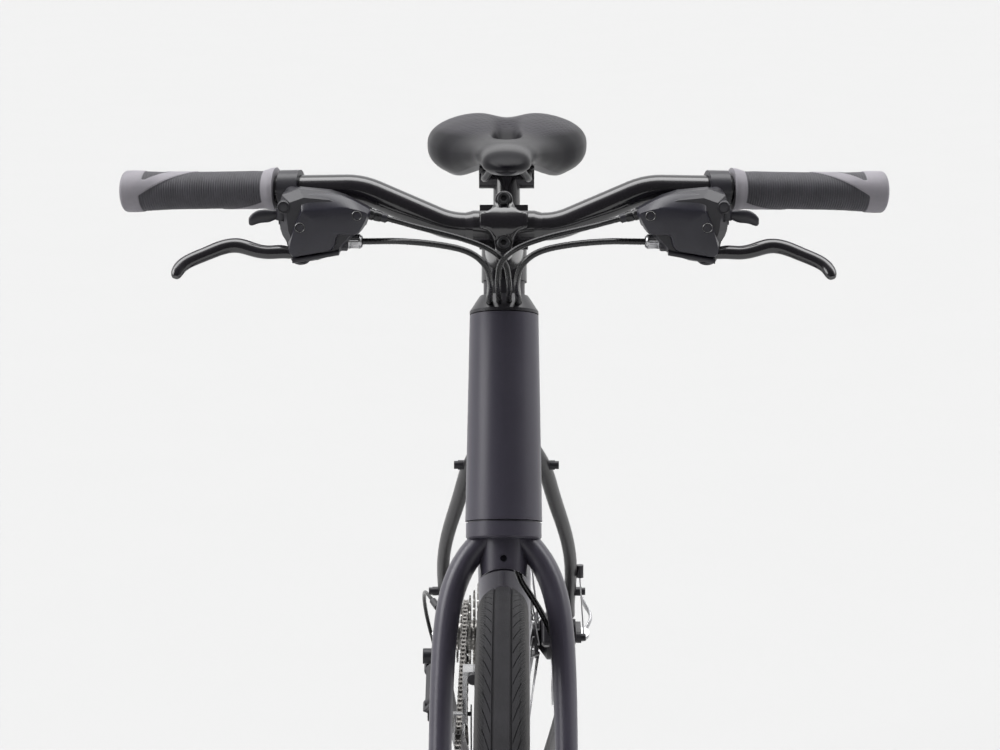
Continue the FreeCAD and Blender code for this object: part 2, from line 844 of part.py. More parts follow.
# Axle with locknuts, the skewer's nut on the right and its cam head on the left
def axle_set(axle, width, release_angle):
    inner = width * half
    outer = inner + dropout_thickness
    hub_end = inner - hub_end_inset
    out_way = point(0, math.cos(math.radians(release_angle)), math.sin(math.radians(release_angle)))
    pin_way = across.cross(out_way)
    outline = [(0, -outer - skewer_nut_length), (skewer_nut_radius * half, -outer - skewer_nut_length),
               (skewer_nut_radius, -outer - skewer_nut_length * half), (skewer_nut_radius, -outer),
               (axle_radius, -outer), (axle_radius, -inner), (locknut_radius, -inner),
               (locknut_radius, -hub_end - touch_gap), (axle_radius, -hub_end - touch_gap),
               (axle_radius, hub_end + touch_gap), (locknut_radius, hub_end + touch_gap),
               (locknut_radius, inner),
               (axle_radius, inner), (axle_radius, outer), (cam_radius, outer),
               (cam_radius, outer + cam_length),
               (0, outer + cam_length)]
    solid = lathe(outline, axle, across)
    pivot = axle + across * (outer + cam_length + cam_tongue_radius - cam_sink)
    tongue = rod(pivot, pivot + pin_way * cam_tongue, cam_tongue_radius)
    pin = rod(pivot - pin_way * (release_root + touch_gap), pivot, cam_pin_radius)
    return largest(solid.fuse([tongue, pin])), pivot, out_way, pin_way


# Quick release lever: an eye on the cam's pin and a bowed, tapering blade
def release_lever(pivot, out_way, pin_way):
    eye_start = pivot - pin_way * touch_gap
    eye_end = eye_start - pin_way * release_root
    eye = rod(eye_start, eye_end, release_eye_radius)
    centre = (eye_start + eye_end) * half
    steps = 9
    sections = []
    for index in range(steps):
        share = index / (steps - 1)
        bow = release_bow * math.sin(math.pi * share) ** 2
        slope = release_bow * math.pi * math.sin(2 * math.pi * share) / release_length
        place = centre + out_way * (release_length * share) + across * bow
        wide = release_root * half + (release_wide - release_root) * half * share ** release_flare_power
        thick = release_thick * (1 - share * half) * half
        sections.append(oval(place, out_way + across * slope, pin_way, wide, thick))
    blade = Part.makeLoft(sections, True)
    return eye.fuse(blade).cut(rod(eye_start + pin_way * overrun, eye_end - pin_way * overrun,
                                   cam_pin_radius + running_gap))


# Steerer, tapered, with the crown collar, an arched tail and the crown hole
def fork_steerer():
    lower = steerer_lower_radius
    upper = steerer_upper_radius
    outline = [(lower - steerer_wall, -steerer_tail), (lower, -steerer_tail), (lower, -crown_collar_height),
               (crown_collar_radius - crown_collar_shelf, -crown_collar_height),
               (crown_collar_radius, -crown_collar_height + crown_collar_shelf), (crown_collar_radius, 0),
               (crown_race_radius, 0), (crown_race_radius, head_tube_gap - touch_gap),
               (lower, head_tube_gap - touch_gap), (lower, steerer_taper_start), (upper, steerer_taper_end),
               (upper, stem_top),
               (upper - steerer_wall, stem_top), (upper - steerer_wall, steerer_taper_end),
               (lower - steerer_wall, steerer_taper_start)]
    solid = lathe(outline, crown_race, steer_up)
    arch_centre = steer_point(0, 0, -steerer_tail - tail_arch_radius + tail_arch_rise)
    arch = rod(arch_centre - steer_back * crown_collar_radius, arch_centre + steer_back * crown_collar_radius,
               tail_arch_radius)
    hole = rod(steer_point(0, 0, -crown_hole_drop), steer_point(0, -crown_collar_radius, -crown_hole_drop),
               crown_hole_radius)
    return solid.cut(arch).cut(hole)


def leg_centre(depth):
    lateral = leg_spread + leg_flare * depth / crown_drop - leg_bend * math.exp(-depth / leg_bend_depth)
    return steer_point(lateral, -fork_offset * (depth / crown_drop) ** leg_rake_power, -depth)


# Depths that divide the length of a fork leg evenly
def leg_depths():
    foot_depth = crown_drop * leg_foot_share
    step = (foot_depth - leg_top_depth) / leg_steps
    depths = [leg_top_depth + step * index for index in range(leg_steps + 1)]
    lengths = [0]
    for above, below in zip(depths, depths[1:]):
        lengths.append(lengths[-1] + (leg_centre(below) - leg_centre(above)).Length)
    even = []
    for index in range(leg_sections):
        wanted = lengths[-1] * index / (leg_sections - 1)
        even.append(min(zip(lengths, depths), key=lambda pair: abs(pair[0] - wanted))[1])
    return even


# Left fork leg bent out from the steerer, raked forward, with its dropout; a plate for the brake if asked
def fork_leg(with_brake):
    sections = []
    step = leg_top_depth * half
    for depth in leg_depths():
        share = depth / crown_drop
        heading = leg_centre(depth + step) - leg_centre(depth - step)
        wide = leg_half_wide + (leg_tip_half_wide - leg_half_wide) * share
        deep = leg_half_deep + (leg_tip_half_deep - leg_half_deep) * share
        sections.append(oval(leg_centre(depth), heading, across, wide, deep))
    leg = Part.makeLoft(sections, True)
    inner = front_hub_width * half
    outer = inner + dropout_thickness
    foot = leg_centre(leg_foot_share * crown_drop)
    leg = leg.fuse(link_plate(front_axle, foot, fork_tip_radius, fork_tip_top_radius, inner, outer))
    if with_brake:
        for place in mount_places(front_axle, front_caliper_angle):
            leg = leg.fuse(link_plate(front_axle, place, fork_tip_radius, caliper_mount_radius, inner, outer))
    slot = axle_slot(front_axle, -steer_up, inner, outer)
    steerer_core = rod(steer_point(0, 0, -steerer_tail - overrun), steer_point(0, 0, overrun),
                       steerer_lower_radius)
    collar_core = rod(steer_point(0, 0, -crown_collar_height), steer_point(0, 0, overrun),
                      crown_collar_radius)
    return largest(leg.cut(slot).cut(steerer_core).cut(collar_core))


# The open slot that an axle drops into
def axle_slot(axle, way, first_x, last_x):
    radius = axle_radius + running_gap
    return link_plate(axle, axle + way * dropout_slot_lead, radius, radius, first_x - overrun,
                      last_x + overrun)


def head_tube():
    outline = [(head_tube_bore, head_tube_gap), (head_tube_lower_radius, head_tube_gap),
               (head_tube_upper_radius, head_tube_top), (head_tube_bore, head_tube_top)]
    return lathe(outline, crown_race, steer_up)


def head_tube_core():
    outline = [(0, head_tube_gap), (head_tube_lower_radius, head_tube_gap),
               (head_tube_upper_radius, head_tube_top),
               (0, head_tube_top)]
    return lathe(outline, crown_race, steer_up)


# Headset bearings, bottom bracket cartridge and its two flanged cups
def frame_bearings():
    lower_base = head_tube_gap
    upper_base = head_tube_top - bearing_height
    lower = ring(steer_point(0, 0, lower_base), steer_point(0, 0, lower_base + bearing_height),
                 head_tube_bore,
                 steerer_lower_radius + running_gap)
    upper = ring(steer_point(0, 0, upper_base), steer_point(0, 0, head_tube_top), head_tube_bore,
                 upper_bearing_bore)
    half_width = shell_width * half
    cup = [(spindle_radius + running_gap, 0), (shell_bore, 0), (shell_bore, half_width),
           (cup_flange_radius, half_width), (cup_flange_radius, half_width + cup_flange),
           (spindle_radius + running_gap, half_width + cup_flange)]
    right = lathe(cup, bottom_bracket, across * -1)
    left = lathe(cup, bottom_bracket, across)
    return [lower, upper, right, left]


# Coned headset cover with a skirt into the upper bearing and cable holes, and one spacer above it
def headset_cover():
    bore = steerer_upper_radius + running_gap
    skirt = upper_bearing_bore - running_gap
    outline = [(bore, cover_base), (bore, cover_base - bearing_height), (skirt, cover_base - bearing_height),
               (skirt, cover_base), (head_tube_upper_radius, cover_base),
               (head_tube_upper_radius, cover_base + cover_lip), (cover_top_radius, spacer_base),
               (bore, spacer_base)]
    cover = lathe(outline, crown_race, steer_up)
    for route, radius in control_routes:
        run = (route[-2] - route[-1]).normalize()
        cover = cover.cut(rod(route[-1] - run * touch_gap, route[-2], radius + touch_gap))
    spacer = ring(steer_point(0, 0, spacer_base), steer_point(0, 0, stem_base), spacer_radius, bore)
    return [cover, spacer]


# Stem with its bar clamp, hourglass faceplate, top cap and bolts
def stem():
    reach_way = (bar_centre - steer_point(0, 0, stem_mid)).normalize()
    rise_way = across.cross(reach_way)
    clamp_outer = bar_clamp_radius + bar_clamp_wall
    root = steer_point(0, 0, stem_mid)
    sleeve = rod(steer_point(0, 0, stem_base), steer_point(0, 0, stem_top), stem_clamp_radius)
    neck = Part.makeLoft([oval(root, reach_way, across, stem_root_half_wide, stem_root_half_tall),
                          oval(bar_centre, reach_way, across, stem_neck_half_wide, stem_neck_half_tall)],
                          True)
    left_end = bar_centre - across * bar_clamp_half
    right_end = bar_centre + across * bar_clamp_half
    barrel = rod(left_end, right_end, clamp_outer)
    bar_hole = rod(left_end - across * overrun, right_end + across * overrun, bar_clamp_radius)
    steer_hole = rod(steer_point(0, 0, stem_base - overrun), steer_point(0, 0, stem_top + overrun),
                     steerer_upper_radius)
    low_boss = point(0, -stem_bolt_reach, 0)
    lugs = link_plate(low_boss, low_boss * -1, faceplate_boss_radius, faceplate_boss_radius,
                      -bar_clamp_radius, -faceplate_gap * half)
    lugs = carried(lugs, bar_centre, reach_way, rise_way, across)
    boss_end = stem_bolt_reach + faceplate_boss_radius + overrun
    front_half = block(point(-bar_clamp_half - overrun, -faceplate_gap * half, -boss_end),
                       point(bar_clamp_half + overrun, clamp_outer + overrun, boss_end))
    front_half = carried(front_half, bar_centre, across, reach_way, rise_way)
    body = sleeve.fuse([neck, barrel.cut(front_half), lugs]).cut(front_half).cut(bar_hole).cut(steer_hole)

    plate_front = faceplate_gap * half + faceplate_boss_thickness
    back_half = block(point(-bar_clamp_half - overrun, -clamp_outer - overrun, -boss_end),
                      point(bar_clamp_half + overrun, faceplate_gap * half, boss_end))
    plate = barrel.cut(carried(back_half, bar_centre, across, reach_way, rise_way))
    for side in (-1, 1):
        for rise in (-1, 1):
            place = (bar_centre + across * (side * bar_clamp_half)
                     + rise_way * (rise * clamp_outer))
            plate = plate.cut(rod(place - reach_way * clamp_outer,
                                  place + reach_way * (clamp_outer + overrun),
                                  faceplate_scoop_radius))
    spine = link_plate(low_boss, low_boss * -1, faceplate_boss_radius, faceplate_boss_radius,
                       faceplate_gap * half, plate_front)
    plate = plate.fuse(carried(spine, bar_centre, reach_way, rise_way, across))
    plate = largest(plate.cut(bar_hole))

    solids = [largest(body), plate]
    for rise in (-1, 1):
        seat = bar_centre + rise_way * (rise * stem_bolt_reach) + reach_way * plate_front
        head = rod(seat, seat + reach_way * stem_bolt_height, stem_bolt_radius)
        socket = rod(seat + reach_way * stem_bolt_socket, seat + reach_way * overrun, stem_bolt_socket)
        solids.append(head.cut(socket))
    cap = [(0, stem_top), (top_cap_radius, stem_top), (top_cap_radius, stem_top + top_cap_height * half),
           (top_cap_radius - top_cap_height * half, stem_top + top_cap_height),
           (stem_bolt_radius, stem_top + top_cap_height),
           (stem_bolt_socket, stem_top + top_cap_height * half), (0, stem_top + top_cap_height * half)]
    solids.append(lathe(cap, crown_race, steer_up))
    for height in (-1, 1):
        seat = steer_point(0, stem_clamp_radius, stem_mid + height * stem_clamp_height * half * half)
        solids.append(rod(seat - across * stem_bolt_height, seat + across * stem_bolt_height,
                          stem_bolt_radius)
                      .cut(sleeve))
    return solids


# Handlebar route from the middle out to the left end
def bar_route():
    knee = bar_centre + point(bar_second_bend, bar_knee_sweep, bar_rise)
    end = bar_centre + point(bar_half_width, bar_end_sweep, bar_rise - bar_end_droop)
    return [bar_centre + across * bar_first_bend, knee, end]


def bar_place(side):
    knee, end = bar_route()[1:]
    return knee + (end - knee) * ((side - knee.x) / (end.x - knee.x))


bar_out = (bar_place(bar_half_width) - bar_place(control_place)).normalize()


# Riser bar with a thicker clamp section
def handlebar():
    right = bar_route()
    left = [point(-place.x, place.y, place.z) for place in reversed(right)]
    route = left + right
    outer = bent_bar(route, bar_radius, bar_bend_radius)
    bulge = [(0, -bar_taper_half), (bar_radius, -bar_taper_half), (bar_clamp_radius, -bar_bulge_half),
             (bar_clamp_radius, bar_bulge_half), (bar_radius, bar_taper_half), (0, bar_taper_half)]
    return outer.fuse(lathe(bulge, bar_centre, across))


# Grip with a closed end, a thicker outer collar and an inner flange
def grip():
    end = bar_place(bar_half_width)
    start = end - bar_out * grip_length
    bore = bar_radius + running_gap
    outline = [(bore, 0), (grip_inner_radius, 0), (grip_inner_radius, grip_inner_length * half),
               (grip_radius, grip_inner_length), (grip_radius, grip_length - grip_end_length),
               (grip_end_radius, grip_length - grip_end_length * half), (grip_end_radius, grip_length),
               (grip_end_radius - grip_cap, grip_length + grip_cap), (0, grip_length + grip_cap),
               (0, grip_length + running_gap), (bore, grip_length + running_gap)]
    return lathe(outline, start, bar_out)


control_centre = bar_place(control_place)
lever_pivot = control_centre + point(-lever_pivot_inset, -lever_pivot_drop, -lever_pivot_drop)
lever_axis = point(0, -math.sqrt(half), math.sqrt(half))
trigger_pivot = control_centre + point(trigger_outset, -trigger_forward, -trigger_drop)
thumb_pivot = control_centre + point(-thumb_inset, -thumb_forward, -thumb_drop)
adjuster_start = control_centre + point(-adjuster_inset, -control_cable_forward, -adjuster_drop)
adjuster_end = adjuster_start - across * adjuster_length
shift_adjuster_start = control_centre + point(-shift_adjuster_inset, -control_cable_forward,
                                              -shift_adjuster_drop)
shift_adjuster_end = shift_adjuster_start - point(shift_adjuster_length, 0, shift_adjuster_dip)


# Left bracket and shifter pod: a bar band, a crowned housing, the lever's perch and the posts of the shift
# levers
def control_body():
    inner_radius = bar_radius + running_gap
    start = control_centre - bar_out * control_band_half
    end = control_centre + bar_out * control_band_half
    band = rod(start, end, inner_radius + control_band_wall)

    def outline(forward, size):
        middle = control_centre + point(-pod_length * half, -forward, pod_top_rise - pod_drop * half)
        corners = []
        for along, drop in pod_outline_shares:
            corners.append(middle + point((half - along) * pod_length * size, 0,
                                          (half - drop) * pod_drop * size))
        return Part.makePolygon(corners + corners[:1])

    housing = Part.makeLoft([outline(pod_back, 1), outline(pod_front - pod_crown, 1),
                             outline(pod_front, pod_crown_share)], True, True)
    neck_end = control_centre - point(pod_neck_radius, pod_front - pod_crown, pod_neck_radius)
    neck = rod(control_centre, neck_end, pod_neck_radius)
    perch = rod(lever_pivot - lever_axis * perch_half, lever_pivot + lever_axis * perch_half, perch_radius)
    room_half = lever_eye_half + touch_gap
    room = rod(lever_pivot - lever_axis * room_half, lever_pivot + lever_axis * room_half, lever_room_radius)
    pin = rod(lever_pivot - lever_axis * perch_half, lever_pivot + lever_axis * perch_half, lever_pin_radius)
    bar_hole = rod(start - bar_out * pod_length, end + bar_out * overrun, inner_radius)
    body = housing.fuse([band, neck, perch]).cut(room).fuse(pin).cut(bar_hole)

    trigger_half = trigger_thickness * half + touch_gap
    trigger_room = rod(trigger_pivot - upward * trigger_half, trigger_pivot + upward * trigger_half,
                       trigger_room_radius)
    body = body.cut(trigger_room)
    post_half = trigger_half + shift_lug
    body = body.fuse(rod(trigger_pivot - upward * post_half, trigger_pivot + upward * post_half,
                         shift_post_radius))
    for low in (-post_half, trigger_half):
        lug = block(trigger_pivot + point(-trigger_outset, -shift_lug, low),
                    trigger_pivot + point(shift_lug, shift_lug, low + shift_lug))
        body = body.fuse(lug)
    thumb_half = thumb_thickness * half + touch_gap
    body = body.fuse(rod(thumb_pivot - upward * thumb_half, thumb_pivot + upward * (thumb_half + shift_lug),
                         shift_post_radius))
    shelf = block(thumb_pivot + point(-thumb_hub_radius, thumb_forward - pod_back - shift_lug, thumb_half),
                  thumb_pivot + point(thumb_hub_radius, shift_lug, thumb_half + shift_lug))
    body = largest(body.fuse(shelf))
    brake_adjuster = rod(adjuster_start, adjuster_end, adjuster_radius).cut(body)
    shift_adjuster = rod(shift_adjuster_start, shift_adjuster_end, shift_adjuster_radius).cut(body)
    return [body, largest(brake_adjuster), largest(shift_adjuster)]


# Left brake lever: an eye in the perch and a curved blade with a hooked tip, in the plane square to its pin
def brake_lever():
    pull_way = point(0, -math.sqrt(half), -math.sqrt(half))
    plane_base = control_centre - across * lever_pivot_inset

    def place(along, drop):
        fall = drop * lever_tip_drop / math.sqrt(half)
        return plane_base + across * (along * lever_reach) + pull_way * fall

    sections = []
    places = [place(along, drop) for along, drop, size in lever_shares]
    for index, (along, drop, size) in enumerate(lever_shares):
        before = places[max(index - 1, 0)]
        after = places[min(index + 1, len(places) - 1)]
        sections.append(oval(places[index], after - before, lever_axis, lever_half_deep * size,
                             lever_half_wide * size))
    blade = Part.makeLoft(sections, True)
    eye = rod(lever_pivot - lever_axis * lever_eye_half, lever_pivot + lever_axis * lever_eye_half,
              lever_eye_radius)
    hole = rod(lever_pivot - lever_axis * perch_half, lever_pivot + lever_axis * perch_half,
               lever_pin_radius + running_gap)
    return eye.fuse(blade).cut(hole)


# A flat thumb lever on an upright post: a hub, a tapering arm and a rounded tip
def shift_lever(pivot, hub_radius, tip_radius, reach, thickness, angle):
    flat = link_plate(origin, point(0, reach, 0), hub_radius, tip_radius, -thickness * half, thickness * half)
    turn = math.radians(angle)
    out_way = point(math.cos(turn), math.sin(turn), 0)
    lever = carried(flat, pivot, upward, out_way, upward.cross(out_way))
    return lever.cut(rod(pivot - upward * thickness, pivot + upward * thickness,
                         shift_post_radius + running_gap))


# Left release lever: a hub on its post and an upright arm that turns down at the tip
def release_trigger():
    turn = math.radians(trigger_angle)
    out_way = point(math.cos(turn), math.sin(turn), 0)
    sections = []
    for along, drop, size in trigger_shares:
        place = trigger_pivot + out_way * (along * trigger_reach) - upward * (drop * trigger_half_tall)
        sections.append(oval(place, out_way, upward, trigger_half_tall * size, trigger_half_deep * size))
    post_half = trigger_thickness * half
    hub = rod(trigger_pivot - upward * post_half, trigger_pivot + upward * post_half, trigger_hub_radius)
    hole = rod(trigger_pivot - upward * trigger_thickness, trigger_pivot + upward * trigger_thickness,
               shift_post_radius + running_gap)
    return hub.fuse(Part.makeLoft(sections, True)).cut(hole)


# Control cables, as points chosen along their real routes from the adjusters to the headset cover
adjuster_lead = adjuster_end - across * cable_lead
shift_lead = shift_adjuster_end + (shift_adjuster_end - shift_adjuster_start).normalize() * cable_lead
left_brake_route = [adjuster_end,
                    adjuster_lead] + [bar_centre + point(*place) for place in brake_cable_places]
right_brake_route = [point(-place.x, place.y, place.z) for place in left_brake_route]
left_shift_route = [shift_adjuster_end,
                    shift_lead] + [bar_centre + point(*place) for place in left_shift_cable_places]
right_shift_route = [point(-place.x, place.y, place.z) for place in (shift_adjuster_end, shift_lead)]
right_shift_route += [bar_centre + point(*place) for place in right_shift_cable_places]
control_routes = [(left_brake_route, brake_housing_radius), (right_brake_route, brake_housing_radius),
                  (left_shift_route, shift_housing_radius), (right_shift_route, shift_housing_radius)]
fork_brake_route = [steer_point(*place) for place in fork_cable_places]


down_start = steer_point(0, 0, down_tube_head_place)
down_way = (bottom_bracket - down_start).normalize()
down_normal = across.cross(down_way) * -1


# Frame tubes, cut to sit against each other
def frame_tubes():
    seat_top = seat_point(0, 0, seat_tube_length)
    seat_core = rod(bottom_bracket, seat_top, seat_tube_radius)
    shell_core = rod(bottom_bracket - across * (shell_width * half),
                     bottom_bracket + across * (shell_width * half),
                     shell_radius)
    head_core = head_tube_core()
    top_start = steer_point(0, 0, top_tube_head_place)
    top_end = seat_point(0, 0, top_tube_seat_place)

    def top_form(inset):
        return Part.makeLoft([oval(top_start, top_end - top_start, across, top_tube_half_wide - inset,
                                   top_tube_half_tall - inset),
                              oval(top_end, top_end - top_start, across, top_tube_tail_half_wide - inset,
                                   top_tube_tail_half_tall - inset)], True)

    def down_form(inset):
        return Part.makeLoft([oval(down_start, down_way, across, down_tube_half_wide - inset,
                                   down_tube_half_tall - inset),
                              oval(bottom_bracket, down_way, across, down_tube_tail_half_wide - inset,
                                   down_tube_tail_half_tall - inset)], True)

    down_core = down_form(0)
    down = largest(down_core.cut(down_form(tube_wall)).cut(head_core).cut(shell_core).cut(seat_core))
    top = largest(top_form(0).cut(top_form(tube_wall)).cut(head_core).cut(seat_core))
    seat_bore = rod(bottom_bracket, seat_top + seat_up * overrun, post_radius + running_gap)
    seat = largest(seat_core.cut(seat_bore).cut(shell_core))
    shell = shell_core.cut(rod(bottom_bracket - across * shell_width, bottom_bracket + across * shell_width,
                               shell_bore))
    return top, down, seat, shell, seat_core, shell_core, down_core


def seat_stay_place_at(share, spread):
    top = seat_point(0, 0, seat_stay_place)
    foot = rear_axle + point(0, -seat_stay_foot_lead, seat_stay_foot_rise)
    lateral = seat_stay_top_half + (stay_spread - seat_stay_top_half) * spread
    return top + (foot - top) * share + across * lateral


# Left seat stay, bowed out around the wheel
def seat_stay():
    places = [seat_stay_place_at(share, spread) for share, spread, size in seat_stay_shares]
    sections = []
    for index, (share, spread, size) in enumerate(seat_stay_shares):
        heading = places[min(index + 1, len(places) - 1)] - places[max(index - 1, 0)]
        radius = seat_stay_tip_radius + (seat_stay_radius - seat_stay_tip_radius) * size
        sections.append(oval(places[index], heading, across, radius, radius))
    return Part.makeLoft(sections, True)


# Chain stays leave the shell nearly straight, then spread round the tyre and run straight to the dropouts
def chain_stay_place_at(share):
    foot = rear_axle + point(0, -chain_stay_foot_lead, -chain_stay_foot_drop)
    spread = (1 - (1 - share) ** 2 + share ** 2 * (3 - 2 * share)) * half
    lateral = chain_stay_root_half + (stay_spread - chain_stay_root_half) * spread
    return bottom_bracket + (foot - bottom_bracket) * share + across * lateral


# Left chain stay, narrow beside the rings and tyre
def chain_stay():
    shares = [index / (chain_stay_sections - 1) for index in range(chain_stay_sections)]
    places = [chain_stay_place_at(share) for share in shares]
    sections = []
    for index, share in enumerate(shares):
        heading = places[min(index + 1, len(places) - 1)] - places[max(index - 1, 0)]
        tall = chain_stay_half_tall + (chain_stay_tip_half_tall - chain_stay_half_tall) * share
        sections.append(oval(places[index], heading, across, chain_stay_half_wide, tall))
    return Part.makeLoft(sections, True)


hanger = rear_axle + point(0, hanger_back, -hanger_drop)


# Bolt places of a disc caliper, on a circle about the axle
def mount_places(axle, angle):
    turn = math.radians(angle)
    out_way = point(0, math.cos(turn), math.sin(turn))
    side_way = across.cross(out_way)
    return [axle + out_way * caliper_mount_circle + side_way * (sign * caliper_mount_half) for sign in (-1,
                                                                                                        1)]


# Rear dropout plate with its axle slot, for the right with a hanger, for the left with brake lugs
def dropout(is_left):
    inner = rear_hub_width * half
    outer = inner + dropout_thickness
    seat_foot = seat_stay_place_at(1, 1)
    chain_foot = chain_stay_place_at(1)
    plate = link_plate(rear_axle, seat_foot, dropout_radius, dropout_arm_radius, inner, outer)
    plate = plate.fuse(link_plate(rear_axle, chain_foot, dropout_radius, dropout_arm_radius, inner, outer))
    slot_way = point(0, -seat_stay_foot_lead, -dropout_slot_lead).normalize()
    if is_left:
        for place in mount_places(rear_axle, rear_caliper_angle):
            plate = plate.fuse(link_plate(rear_axle, place, dropout_arm_radius, caliper_mount_radius, inner,
                                          outer))
    else:
        plate = plate.fuse(link_plate(rear_axle, hanger, dropout_radius, hanger_radius, inner, outer))
    plate = plate.removeSplitter().cut(axle_slot(rear_axle, slot_way, inner, outer))
    return plate if is_left else mirrored(plate)


# How far the seat stay has spread at a share of its length
def stay_spread_at(share):
    spreads = [row[:2] for row in seat_stay_shares]
    for (low, low_spread), (high, high_spread) in zip(spreads, spreads[1:]):
        if low <= share <= high:
            return low_spread + (high_spread - low_spread) * (share - low) / (high - low)
    return 1


# Collar round the top of the seat tube, with its pinch bolt behind
def seat_collar():
    base = seat_point(0, 0, seat_tube_length - collar_height)
    top = seat_point(0, 0, seat_tube_length)
    outer = seat_tube_radius + collar_wall
    collar = ring(base, top, outer, seat_tube_radius)
    ear = block(point(-collar_ear, seat_tube_radius + collar_wall * half, 0),
                point(collar_ear, outer + collar_ear, collar_height))
    bolt_place = seat_point(0, outer + collar_ear * half, seat_tube_length - collar_height * half)
    side = across * (collar_ear + collar_wall)
    bolt = rod(bolt_place - side, bolt_place + side, collar_bolt_radius)
    collar = collar.fuse(carried(ear, base, across, seat_back, seat_up)).cut(bolt)
    return [collar, bolt]


# A threaded boss standing on a tube
def bottle_boss(foot, way, tube):
    boss = rod(foot - way * boss_height, foot + way * boss_height, boss_radius)
    return largest(boss.cut(rod(foot - way * boss_height, foot + way * overrun, boss_hole_radius)).cut(tube))


def down_boss_foot(offset):
    length = (bottom_bracket - down_start).Length
    share = down_boss_share + offset / length
    tall = down_tube_half_tall + (down_tube_tail_half_tall - down_tube_half_tall) * share
    return down_start + down_way * (length * share) + down_normal * tall


def seat_boss_foot(offset):
    return seat_point(0, -seat_tube_radius, seat_boss_place + offset)


# Screws in bosses on the outside of a seat stay, one high and one low
def rack_screws(stay):
    solids = []
    for share in (rack_upper_share, rack_lower_share):
        place = seat_stay_place_at(share, stay_spread_at(share))
        seat = place + across * (seat_stay_radius + rack_boss_length)
        solids.append(largest(rod(place, seat, rack_boss_radius).cut(stay)))
        solids.append(rod(seat, seat + across * rack_screw_height, rack_screw_radius))
    return solids


def stop_place(share):
    return seat_stay_place_at(share, stay_spread_at(share)) + across * (seat_stay_tip_radius + stop_radius)


rail_height = saddle_top_height - rail_drop
post_head = seat_point(0, 0, (rail_height - rail_radius * 2 - bottom_bracket.z) / seat_up.z)
saddle_mid = post_head.y + saddle_setback


# Seatpost with its cradle, the upper clamp and the clamp bolt
def seatpost():
    head = post_head
    post = rod(seat_point(0, 0, seat_tube_length - post_insertion), head, post_radius)
    bore = rod(seat_point(0, 0, seat_tube_length - post_insertion - overrun),
               head - seat_up * cradle_radius * 2,
               post_radius - post_wall)
    cradle = rod(head - across * cradle_half, head + across * cradle_half, cradle_radius)
    above = block(point(-cradle_half - overrun, head.y - cradle_radius * 2, rail_height),
                  point(cradle_half + overrun, head.y + cradle_radius * 2, rail_height + cradle_radius * 2))
    upper = block(point(-cradle_half, head.y - clamp_half_long, rail_height + touch_gap),
                  point(cradle_half, head.y + clamp_half_long, rail_height + clamp_height))
    bolt_low = point(0, head.y + clamp_half_long * half, rail_height - cradle_radius * 2)
    bolt_high = point(bolt_low.x, bolt_low.y, rail_height + clamp_height + clamp_bolt_radius)
    bolt = rod(bolt_low, bolt_high, clamp_bolt_radius).fuse(
        rod(bolt_low, bolt_low + upward * clamp_bolt_radius, clamp_bolt_head))
    rail_run = point(0, cradle_radius * 2, 0)
    lower = post.cut(bore).fuse(cradle).cut(above).cut(bolt)
    for side in (-rail_half, rail_half):
        rail_mid = point(side, head.y, rail_height)
        rail_core = rod(rail_mid - rail_run, rail_mid + rail_run, rail_radius)
        lower = lower.cut(rail_core)
        upper = upper.cut(rail_core)
    return [largest(lower), largest(upper.cut(bolt)), bolt]


# One saddle section across the bike: flat underside, drawn-in sides, two lobes and a channel between them
def saddle_section(index, side_inset, top_inset, floor_drop):
    width, top_share, skirt_share, channel_share = saddle_shares[index]
    along = index / (len(saddle_shares) - 1)
    place = saddle_mid + (along - half) * (saddle_length - side_inset * 2)
    wide = saddle_half_width * width - side_inset
    top = saddle_top_height - saddle_skirt * top_share - top_inset
    floor = saddle_top_height - saddle_skirt * skirt_share - floor_drop
    tall = top - floor
    channel_half = wide * saddle_channel_half / saddle_half_width * 2
    channel = saddle_channel * channel_share * (1 if top_inset == 0 else half)

    def at(side, height):
        return point(side, place, height)

    floor_half = wide * saddle_floor_share
    shoulder = at(wide * saddle_shoulder_share, top - tall * saddle_crown_share * 2)
    left_shoulder = at(-shoulder.x, shoulder.z)
    lip = at(channel_half, top - tall * saddle_crown_share * half)
    left_lip = at(-channel_half, lip.z)
    lobe = at(wide * half, top)
    left_lobe = at(-lobe.x, top)
    bulge = floor + tall * saddle_bulge_share
    edges = [Part.LineSegment(at(-floor_half, floor), at(floor_half, floor)),
             Part.Arc(at(floor_half, floor), at(wide, bulge), shoulder),
             Part.Arc(shoulder, lobe, lip),
             Part.Arc(lip, at(0, top - channel), left_lip),
             Part.Arc(left_lip, left_lobe, left_shoulder),
             Part.Arc(left_shoulder, at(-wide, bulge), at(-floor_half, floor))]
    return Part.Wire([edge.toShape() for edge in edges])


def saddle_form(side_inset, top_inset, floor_drop):
    sections = []
    for index in range(len(saddle_shares)):
        sections.append(saddle_section(index, side_inset, top_inset, floor_drop))
    return Part.makeLoft(sections, True)


# Padded saddle cover, hollow below, and the moulded base shell inside it
def saddle_cover():
    return largest(saddle_form(0, 0, 0).cut(saddle_form(saddle_side, saddle_pad, overrun)))


def saddle_base():
    outer = saddle_form(saddle_side + touch_gap, saddle_pad + touch_gap, overrun)
    inner = saddle_form(saddle_side + saddle_shell, saddle_pad + saddle_shell, overrun * 2)
    return largest(outer.cut(inner).common(saddle_form(0, 0, 0)))


# Left saddle rail, flat through the clamp and rising at both ends to the base
def saddle_rail():
    front = post_head.y - rail_flat_half
    back = post_head.y + rail_flat_half
    route = [point(rail_nose_half, front - rail_nose_run, rail_height + rail_nose_rise),
             point(rail_half, front, rail_height),
             point(rail_half, back, rail_height),
             point(rail_tail_half, back + rail_tail_run, rail_height + rail_tail_rise)]
    return bent_bar(route, rail_radius, rail_bend_radius)


def pitch_radius(teeth):
    return chain_pitch / (2 * math.sin(math.pi / teeth))


